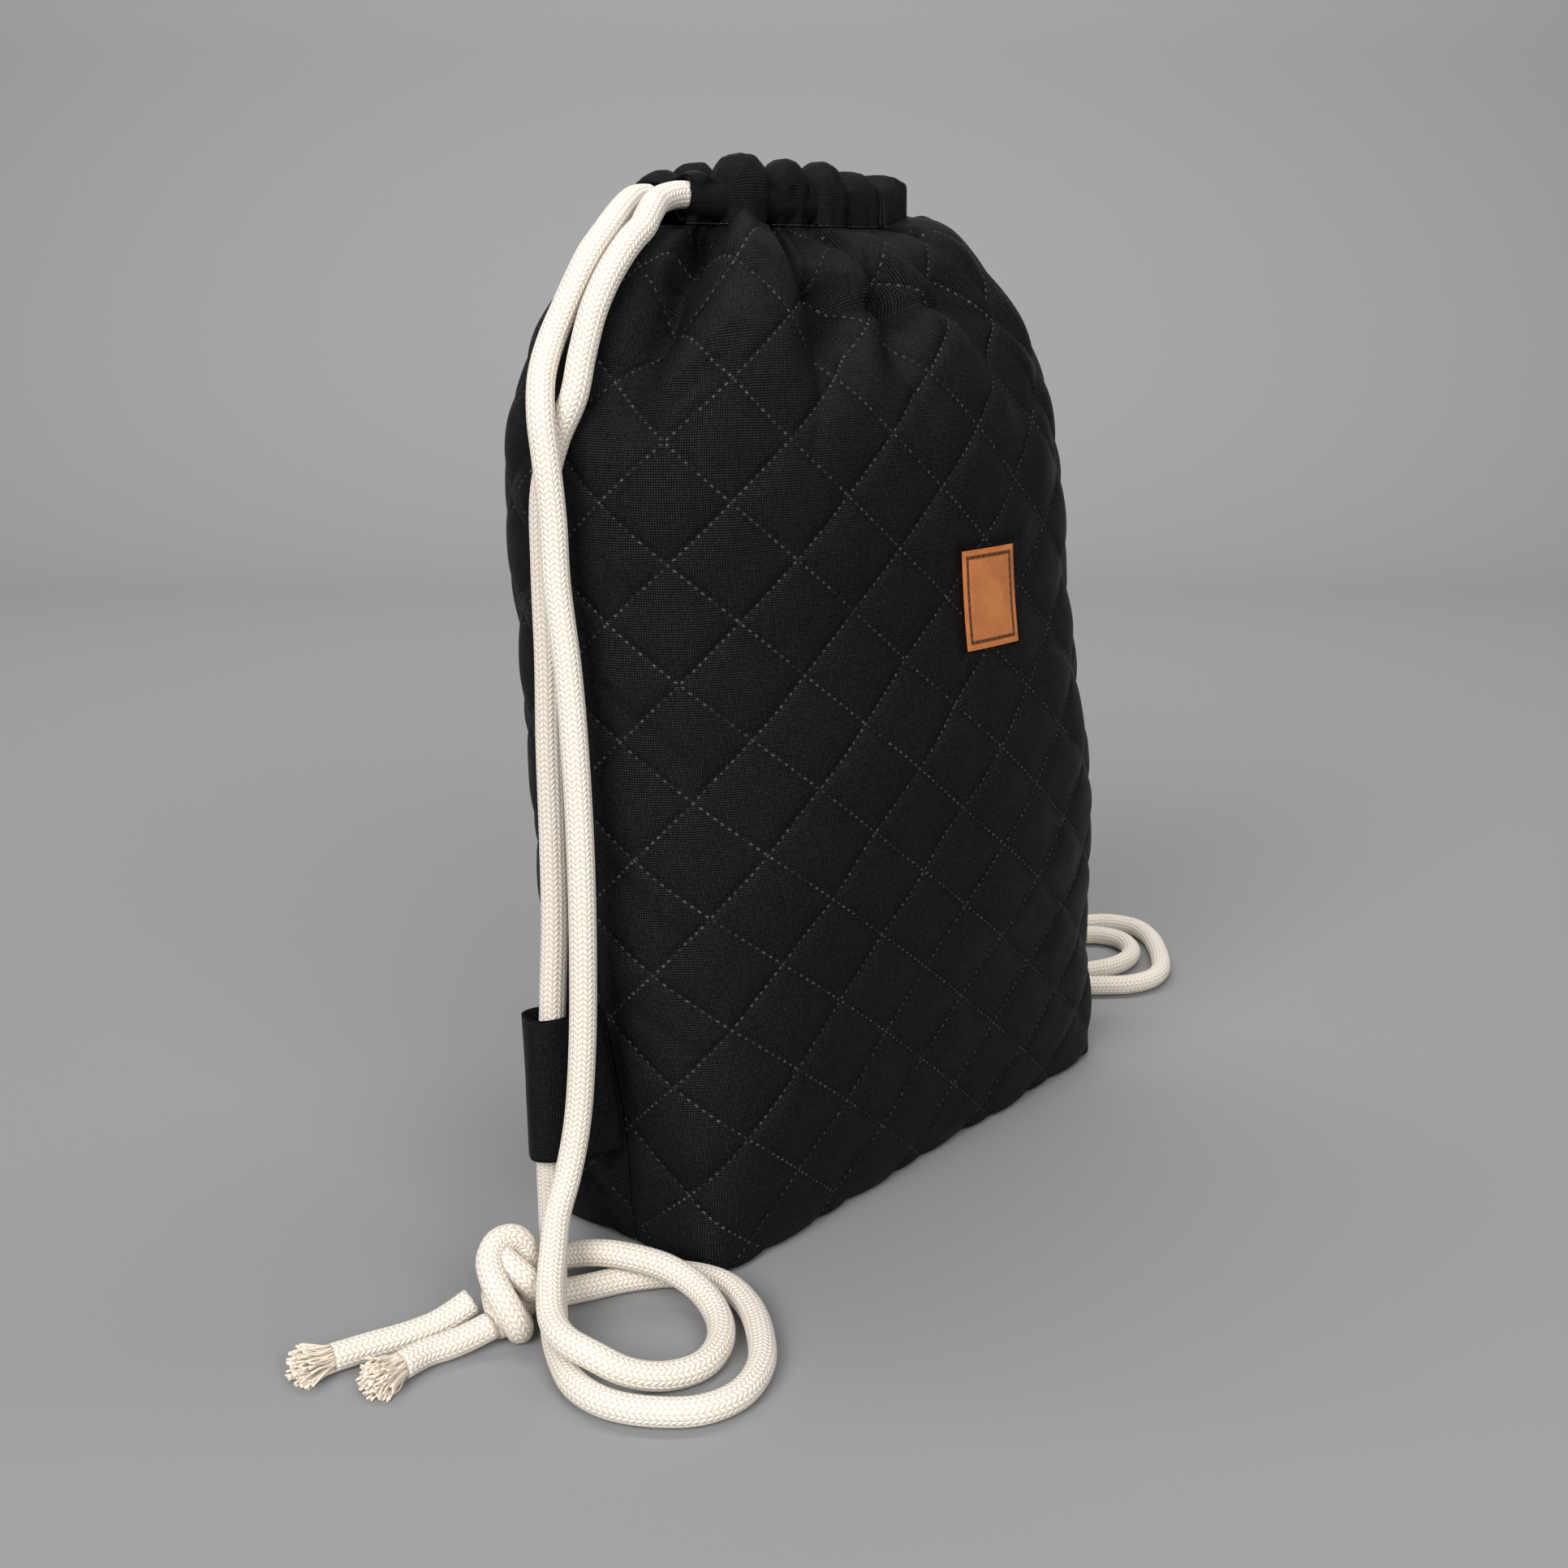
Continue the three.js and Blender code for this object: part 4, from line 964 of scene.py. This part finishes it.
# Cords, in metres: each strand's route, the same as the CAD's, and its length from tunnel to knot
cordShape = {"diameter": 0.01, "sides": 28, "spacing": 0.0016}
strandRoutes = {
    "left_front": ((
        (-0.069, 0.0192, 0.3948), (-0.079, 0.021, 0.3946), (-0.089, 0.0196, 0.3922),
        (-0.0985, 0.0144, 0.3874), (-0.106, 0.01, 0.3825), (-0.113, 0.0086, 0.378),
        (-0.12, 0.0076, 0.3718), (-0.127, 0.007, 0.3638), (-0.1335, 0.0066, 0.3535),
        (-0.139, 0.0066, 0.339), (-0.1428, 0.0072, 0.325), (-0.1466, 0.013, 0.31),
        (-0.149, 0.0175, 0.292), (-0.15, 0.0175, 0.265), (-0.1514, 0.0155, 0.232),
        (-0.153, 0.0145, 0.2), (-0.155, 0.012, 0.165), (-0.158, 0.009, 0.133),
        (-0.1612, 0.0076, 0.105), (-0.1632, 0.0074, 0.075), (-0.1642, 0.0082, 0.05),
        (-0.1652, 0.008, 0.036), (-0.1715, 0, 0.028), (-0.184, -0.0155, 0.023),
        (-0.198, -0.032, 0.014), (-0.207, -0.043, 0.0075), (-0.2155, -0.057, 0.0054),
        (-0.2218, -0.072, 0.0053), (-0.2215, -0.087, 0.0053), (-0.2145, -0.101, 0.0053),
        (-0.203, -0.112, 0.0053), (-0.188, -0.115, 0.0053), (-0.171, -0.1085, 0.0053),
        (-0.156, -0.094, 0.0053), (-0.145, -0.077, 0.0053), (-0.141, -0.06, 0.0053),
        (-0.147, -0.044, 0.0053), (-0.161, -0.033, 0.0053), (-0.177, -0.026, 0.0053),
        (-0.194, -0.0197, 0.0062),
    ), 0.716),
    "left_back": ((
        (-0.0675, 0.0425, 0.3946), (-0.08, 0.0408, 0.394), (-0.092, 0.0343, 0.3904),
        (-0.104, 0.0272, 0.3852), (-0.1136, 0.0226, 0.3796), (-0.122, 0.02, 0.3734),
        (-0.1286, 0.0194, 0.365), (-0.1345, 0.0193, 0.356), (-0.1424, 0.019, 0.3436),
        (-0.151, 0.0144, 0.332), (-0.1568, 0.0086, 0.319), (-0.158, 0.005, 0.303),
        (-0.1575, 0.0032, 0.283), (-0.1585, 0.001, 0.262), (-0.1595, -0.005, 0.23),
        (-0.1615, -0.01, 0.198), (-0.1635, -0.0135, 0.165), (-0.1655, -0.0155, 0.13),
        (-0.1675, -0.016, 0.095), (-0.171, -0.016, 0.066), (-0.177, -0.017, 0.048),
        (-0.186, -0.021, 0.0365), (-0.196, -0.03, 0.028), (-0.206, -0.04, 0.0215),
        (-0.2135, -0.05, 0.0175), (-0.2173, -0.061, 0.0164), (-0.2153, -0.073, 0.0144),
        (-0.209, -0.0825, 0.0095), (-0.199, -0.09, 0.0064), (-0.185, -0.0935, 0.0053),
        (-0.171, -0.0885, 0.0053), (-0.1605, -0.078, 0.0066), (-0.156, -0.064, 0.0105),
        (-0.158, -0.05, 0.0144), (-0.1635, -0.037, 0.0162), (-0.1685, -0.025, 0.0156),
        (-0.1745, -0.0154, 0.0138), (-0.1862, -0.008, 0.013),
    ), 0.64),
    "right_front": ((
        (0.019, 0.0141, 0.3956), (0.031, 0.0172, 0.3976), (0.042, 0.021, 0.3992),
        (0.052, 0.0275, 0.3978), (0.061, 0.037, 0.3935), (0.0665, 0.046, 0.386),
        (0.071, 0.053, 0.3755), (0.077, 0.0578, 0.362), (0.0845, 0.0593, 0.346),
        (0.0895, 0.0595, 0.33), (0.095, 0.0585, 0.313), (0.101, 0.056, 0.295),
        (0.1075, 0.052, 0.2695), (0.1145, 0.0465, 0.24), (0.1215, 0.04, 0.212),
        (0.128, 0.0345, 0.19), (0.135, 0.0295, 0.17), (0.141, 0.0258, 0.154), (0.15, 0.0235, 0.128),
        (0.16, 0.02, 0.104), (0.163, 0.0218, 0.075), (0.1656, 0.0236, 0.048), (0.168, 0.025, 0.032),
        (0.173, 0.0255, 0.018), (0.182, 0.0245, 0.009), (0.193, 0.021, 0.0056),
        (0.203, 0.0155, 0.0053), (0.212, 0.007, 0.0053), (0.222, -0.0015, 0.0053),
        (0.236, -0.006, 0.0053), (0.251, -0.003, 0.0053), (0.266, 0.006, 0.0053),
        (0.281, 0.018, 0.0053), (0.294, 0.031, 0.0053), (0.302, 0.046, 0.0053),
        (0.298, 0.062, 0.0053), (0.284, 0.072, 0.0053), (0.267, 0.0775, 0.0053),
        (0.253, 0.0796, 0.0058), (0.2378, 0.0807, 0.0074),
    ), 0.7),
    "right_back": ((
        (0.0207, 0.0348, 0.3956), (0.032, 0.034, 0.3978), (0.042, 0.0365, 0.399),
        (0.0495, 0.0445, 0.3945), (0.0545, 0.053, 0.3865), (0.058, 0.06, 0.3745),
        (0.0625, 0.0655, 0.36), (0.0678, 0.069, 0.344), (0.0725, 0.0705, 0.33),
        (0.0775, 0.071, 0.314), (0.0835, 0.07, 0.295), (0.091, 0.068, 0.269), (0.0995, 0.0625, 0.24),
        (0.1065, 0.0585, 0.212), (0.114, 0.053, 0.19), (0.121, 0.049, 0.17), (0.129, 0.045, 0.152),
        (0.139, 0.042, 0.136), (0.147, 0.0395, 0.119), (0.153, 0.0385, 0.099),
        (0.157, 0.0385, 0.075), (0.161, 0.039, 0.048), (0.166, 0.0395, 0.03), (0.175, 0.0395, 0.017),
        (0.187, 0.039, 0.0095), (0.2, 0.0365, 0.0058), (0.213, 0.0315, 0.0053),
        (0.226, 0.0245, 0.0053), (0.24, 0.0195, 0.0053), (0.255, 0.02, 0.0053),
        (0.269, 0.027, 0.0053), (0.278, 0.04, 0.0053), (0.276, 0.054, 0.0053),
        (0.264, 0.063, 0.0056), (0.248, 0.066, 0.007), (0.2348, 0.0647, 0.0083),
    ), 0.62),
}
tailRoutes = {
    "left_long": (
        (-0.2184, -0.011, 0.0115), (-0.225, -0.0093, 0.0086), (-0.2315, -0.0075, 0.0064),
        (-0.242, -0.0045, 0.0053), (-0.255, -0.0005, 0.0053), (-0.268, 0.003, 0.0053),
    ),
    "left_short": (
        (-0.2202, -0.0238, 0.0077), (-0.229, -0.0217, 0.006), (-0.236, -0.02, 0.0053),
        (-0.244, -0.018, 0.0053), (-0.255, -0.0185, 0.0053),
    ),
    "right_long": (
        (0.2117, 0.0792, 0.008), (0.202, 0.0802, 0.0062), (0.194, 0.082, 0.0054),
        (0.181, 0.0855, 0.0053), (0.168, 0.09, 0.0053), (0.156, 0.095, 0.0053),
    ),
    "right_short": (
        (0.2152, 0.066, 0.0086), (0.204, 0.066, 0.0064), (0.195, 0.0665, 0.0054),
        (0.184, 0.068, 0.0053), (0.174, 0.07, 0.0053),
    ),
}


# Rings round a path that don't twist along it
def tubePoints(path, radius, sides):
    tangents = np.gradient(path, axis=0)
    tangents /= np.linalg.norm(tangents, axis=1, keepdims=True)
    side = np.cross(tangents[0], (0, 0, 1))
    if np.linalg.norm(side) < 0.1:
        side = np.cross(tangents[0], (0, 1, 0))
    rings = []
    turns = np.linspace(0, 2 * math.pi, sides, endpoint=False)
    for place, tangent in zip(path, tangents):
        side = side - tangent * np.dot(side, tangent)
        side /= np.linalg.norm(side)
        upward = np.cross(tangent, side)
        ring = place + radius * (np.cos(turns)[:, None] * side + np.sin(turns)[:, None] * upward)
        rings.append(ring)
    return np.array(rings)


def tubeInto(bm, path, radius, sides, startAlong=0.0):
    rings = tubePoints(path, radius, sides)
    steps = lengthsAlong(path) + startAlong
    uv = np.stack(np.meshgrid(np.linspace(0, 1, sides + 1), steps), axis=-1)
    grid = gridInto(bm, rings, uv, closed=True)
    for row, order in ((0, -1), (len(grid) - 1, 1)):
        bm.faces.new(grid[row][::order])


def makeTube(name, path, node):
    bm = bmesh.new()
    tubeInto(bm, path, cordShape["diameter"] / 2, cordShape["sides"])
    return addPiece(name, bm, cordMaterial, [node])


# Wraps of a knot, in millimetres, along the axes: right, up and towards the photograph's camera
knotAxes = np.array([(0.764, -0.639, -0.071), (0.365, 0.339, 0.865), (-0.531, -0.689, 0.494)])
knotLoops = (
    (
        (
            (7.4, 2.9, -9), (6.4, 11.2, -4), (2.4, 15.7, 0), (-3.4, 14.2, 3), (-6.1, 7.8, 6.5),
            (-3.9, 0, 10), (0.5, -7.8, 11.5), (4.4, -14.2, 8), (5.4, -16.6, 0), (2.9, -14.7, -8),
            (-1, -9.8, -11.5), (1.5, -3, -12),
        ),
        True,
    ),
    (
        ((-5.4, 11.8, -7), (-3.4, 9.8, 2.5), (2.4, 4.9, 5), (8.3, 0, 2), (9.3, -4, -5), (6, -8, -7)),
        False,
    ),
    (((-4, -4, -7), (-3, -7, 1), (-1.5, -12, 3.5), (-1, -15, 0)), False),
)


# A knot of whole and open wraps that stay over the floor
def makeKnot(name, node, place, turn, mirrored):
    c, s = math.cos(turn), math.sin(turn)
    spin = np.array([[c, s, 0], [-s, c, 0], [0, 0, 1]])
    radius, spacing = cordShape["diameter"] / 2, cordShape["spacing"]
    along = 0.0
    bm = bmesh.new()
    for loop, closed in knotLoops:
        points = np.array(loop) * mm @ knotAxes
        if mirrored:
            points = points * (1, -1, 1)
        points = points @ spin + np.array(place)
        if closed:
            points = np.vstack([points[-1:], points, points[:2]])
        path, length = splinePoints(points, spacing)
        path[:, 2] = np.maximum(path[:, 2], radius + 0.0002)
        tubeInto(bm, path, radius, cordShape["sides"], along)
        along += length
    return addPiece(name, bm, cordMaterial, [node])


frayLook = {
    "yarns": 150,
    "length": 0.0155,
    "yarnWidth": 0.00042,
    "spread": 0.0042,
    "wobble": 0.0012,
    "droop": 0.0008,
    "sides": 5,
    "steps": 9,
}


# Brush of loose yarns at a cord's cut end, set out in a spiral
def makeFray(name, node, route, seed):
    rng = random.Random(seed)
    end, before = np.array(route[-1]), np.array(route[-2])
    ahead = (end - before) / np.linalg.norm(end - before)
    side = np.cross(ahead, (0, 0, 1))
    side /= np.linalg.norm(side)
    upward = np.cross(side, ahead)
    width = frayLook["yarnWidth"]
    bm = bmesh.new()
    for yarn in range(frayLook["yarns"]):
        share = math.sqrt((yarn + 0.5) / frayLook["yarns"])
        angle = yarn * 2.39996 + rng.uniform(-0.2, 0.2)
        outward = math.cos(angle) * side + math.sin(angle) * upward
        start = end + outward * share * cordShape["diameter"] * 0.42
        length = frayLook["length"] * (1 - 0.35 * share**2) * rng.uniform(0.85, 1.08)
        lean = frayLook["spread"] * share * rng.uniform(0.7, 1.3)
        wobble = rng.uniform(-frayLook["wobble"], frayLook["wobble"])
        points = []
        for t in np.linspace(0, 1, frayLook["steps"]):
            place = start + ahead * length * t + outward * lean * t**1.4
            place = place + side * wobble * math.sin(3 * t)
            place = place + upward * wobble * math.sin(4.2 * t + yarn)
            place[2] = max(place[2] - frayLook["droop"] * t, width * 1.05)
            points.append(place)
        tubeInto(bm, np.array(points), width, frayLook["sides"])
    return addPiece(name, bm, yarnMaterial, [node])


tunnelCords = []
for name, side in (("front", -1), ("back", 1)):
    ends = tunnelShape["cordEnds"]
    along = np.linspace(-ends, ends, tunnelShape["cordSteps"])
    path = tunnelMiddle(side, along) * mm
    path[:, 2] -= tunnelShape["cordSag"] * mm * (1 - (along / along[-1]) ** 4)
    tunnelCords.append(makeTube(name + "TunnelCord", path, name + "_tunnel_cord"))

# Where each knot lies, its turn about the vertical and whether it is mirrored
knotPlaces = {
    "left": ((-0.2085, -0.0185, 0.0174), 0.0, False),
    "right": ((0.225, 0.0725, 0.0174), 0.5, True),
}
for end, (place, turn, mirrored) in knotPlaces.items():
    knot = makeKnot(end + "Knot", end + "_knot", place, turn, mirrored)
    tails = []
    for number, which in enumerate(("long", "short")):
        node, title = end + "_" + which + "_tail", end + which.capitalize()
        route = tailRoutes[end + "_" + which]
        path = splinePoints(route, cordShape["spacing"])[0]
        tails.append(makeTube(title + "Tail", path, node))
        tails.append(makeFray(title + "Fray", node + "_fray", route, 7 + number))
    for which, hanging, tunnelCord in (
        ("front", tails + [knot], tunnelCords[0]),
        ("back", [], tunnelCords[1]),
    ):
        route, length = strandRoutes[end + "_" + which]
        path = splinePoints(route, cordShape["spacing"])[0]
        title = end + which.capitalize() + "Strand"
        strand = makeTube(title, path, end + "_" + which + "_strand")
print("cords done")

# Leather label, with a row of stitches along its edges
leatherLook = {
    "color": (0.95, 0.36, 0.125, 1),
    "darkColor": (0.62, 0.2, 0.062, 1),
    "grooveColor": (0.12, 0.035, 0.012, 1),
    "threadColor": (0.22, 0.1, 0.05, 1),
    "roughness": 0.5,
    "specular": 0.35,
    "stitchInset": 0.003,
    "stitchStep": 0.0034,
    "grooveWidth": 0.0009,
    "darkEdge": 0.0011,
    "grainHeight": 0.25,
    "threadHeight": 0.8,
    "bump": 0.9,
    "bumpHeight": 0.0006,
}


def makeLeatherMaterial():
    material, tree, shader = newMaterial("tanLeather")
    uvVector, across, upward = splitUv(tree)
    place = tree.nodes.new("ShaderNodeTexCoord").outputs["Object"]
    grain = noiseNode(tree, place, 1400.0, 4.0, 0.6)
    clouds = noiseNode(tree, place, 90.0, 3.0, 0.55)
    insets = []
    for coordinate, size in ((across, labelShape["width"]), (upward, labelShape["height"])):
        fromMiddle = mathNode(tree, "ABSOLUTE", coordinate)
        insets.append(mathNode(tree, "SUBTRACT", size / 2 * mm, fromMiddle))
    nearest = mathNode(tree, "MINIMUM", *insets)
    offset = mathNode(tree, "SUBTRACT", nearest, leatherLook["stitchInset"])
    offset = mathNode(tree, "ABSOLUTE", offset)
    width = leatherLook["grooveWidth"]
    groove = rangeNode(tree, offset, width / 3, width, 1.0, 0.0)
    sideways = mathNode(tree, "LESS_THAN", *insets)
    lengthways = mathNode(tree, "SUBTRACT", 1.0, sideways)
    run = mathNode(tree, "MULTIPLY", lengthways, across)
    run = mathNode(tree, "MULTIPLY_ADD", sideways, upward, run)
    beat = mathNode(tree, "PINGPONG", run, leatherLook["stitchStep"] / 2)
    thread = rangeNode(tree, beat, 0.0004, 0.0006, 0.0, 1.0)
    thread = mathNode(tree, "MULTIPLY", groove, thread)
    clouds = rangeNode(tree, clouds, 0.35, 0.7, 0.0, 0.6)
    color = mixColor(tree, clouds, leatherLook["color"], leatherLook["darkColor"])
    edge = rangeNode(tree, nearest, 0.0, leatherLook["darkEdge"], 0.75, 0.0)
    color = mixColor(tree, edge, color, leatherLook["darkColor"])
    color = mixColor(tree, groove, color, leatherLook["grooveColor"])
    color = mixColor(tree, thread, color, leatherLook["threadColor"])
    nodeInput(tree, shader.inputs["Base Color"], color)
    shader.inputs["Roughness"].default_value = leatherLook["roughness"]
    shader.inputs["Specular IOR Level"].default_value = leatherLook["specular"]
    height = mathNode(tree, "MULTIPLY", grain, leatherLook["grainHeight"])
    height = mathNode(tree, "SUBTRACT", height, groove)
    height = mathNode(tree, "MULTIPLY_ADD", thread, leatherLook["threadHeight"], height)
    bump = bumpNode(tree, height, leatherLook["bump"], leatherLook["bumpHeight"])
    tree.links.new(bump, shader.inputs["Normal"])
    return material


# The label follows the cloth and curves down at its edges
def makeLabel():
    width, height, thickness = [labelShape[key] for key in ("width", "height", "thickness")]
    w = np.linspace(-0.5, 0.5, labelShape["columns"] + 1) * width
    h = np.linspace(-0.5, 0.5, labelShape["rows"] + 1) * height
    heights = (labelShape["middle"] + h) / bagShape["panelHeight"]
    across = labelShape["across"] + w / panelLook["panelWidth"]
    surface = smoothGrid(-1, heights, across)
    normals = gridNormals(surface, -1)
    wide, high = np.meshgrid(w, h)
    inset = np.minimum(width / 2 - np.abs(wide), height / 2 - np.abs(high))
    crown = labelShape["crown"] * (smoothStep(inset, 0, 1.2) - 1)
    lift = labelShape["gap"] + thickness + crown
    bm = bmesh.new()
    uv = np.stack([wide, high], axis=-1) * mm
    gridInto(bm, (surface + normals * lift[..., None]) * mm, uv)
    bmesh.ops.solidify(bm, geom=bm.faces[:], thickness=(thickness - 0.3) * mm)
    addPiece("leatherLabel", bm, makeLeatherMaterial(), ["label"])


makeLabel()
print("label done")

# Floor, lights and colour
studioLook = {
    "floorColor": (0.25, 0.25, 0.25, 1),
    "worldColor": (1.0, 1.0, 1.0, 1),
    "worldStrength": 0.07,
    "floorStart": -3.0,
    "floorHalfWidth": 4.0,
    "sweepDistance": 1.5,
    "sweepRadius": 0.7,
    "sweepTop": 4.0,
}
# Each light's place, what it points at, its width and height and its power in watts
studioLights = {
    "keyLight": ((-2.6, -0.85, 1.75), (0, 0, 0.2), (1.5, 1.5), 98.0),
    "topLight": ((0.5, 0.5, 2.6), (0.5, 0.5, 0), (2.4, 2.4), 14.0),
    "fillLight": ((-0.6, -1.35, 0.95), (0, 0, 0.2), (0.9, 0.9), 17.0),
    "backdropLight": ((0.45, 0.42, 2.2), (1.75, 1.65, 0.6), (3.4, 0.6), 64.0),
}


# Paper that runs away from the camera and sweeps up behind the bag
def makeFloor():
    material, tree, shader = newMaterial("paperSweep")
    shader.inputs["Base Color"].default_value = studioLook["floorColor"]
    shader.inputs["Roughness"].default_value = 0.85
    shader.inputs["Specular IOR Level"].default_value = 0.15
    angle = math.radians(90 + cameraView["heading"])
    forward = np.array((math.cos(angle), math.sin(angle), 0.0))
    sideways = np.array((-forward[1], forward[0], 0.0))
    distance, radius = studioLook["sweepDistance"], studioLook["sweepRadius"]
    profile = [(studioLook["floorStart"], 0.0), (distance, 0.0)]
    for t in np.linspace(0, math.pi / 2, 24)[1:]:
        profile.append((distance + radius * math.sin(t), radius * (1 - math.cos(t))))
    profile.append((distance + radius, studioLook["sweepTop"]))
    edge = studioLook["floorHalfWidth"] * sideways
    points = np.array([
        [forward * reach + (0, 0, z) + aside for aside in (-edge, edge)] for reach, z in profile
    ])
    bm = bmesh.new()
    gridInto(bm, points, np.zeros(points.shape[:2] + (2,)))
    addObject("floor", bm, material)


def makeLight(name, place, target, size, power):
    data = bpy.data.lights.new(name, "AREA")
    data.shape = "RECTANGLE"
    data.size, data.size_y = size
    data.energy = power
    light = bpy.data.objects.new(name, data)
    light.location = place
    light.rotation_euler = (Vector(target) - Vector(place)).to_track_quat("-Z", "Y").to_euler()
    bpy.context.scene.collection.objects.link(light)


makeFloor()
for name, light in studioLights.items():
    makeLight(name, *light)
world = bpy.data.worlds.new("studio")
world.use_nodes = True
background = world.node_tree.nodes["Background"]
background.inputs["Color"].default_value = studioLook["worldColor"]
background.inputs["Strength"].default_value = studioLook["worldStrength"]
bpy.context.scene.world = world
bpy.context.scene.view_settings.view_transform = "Standard"
bpy.context.scene.view_settings.look = "None"
print("studio done")
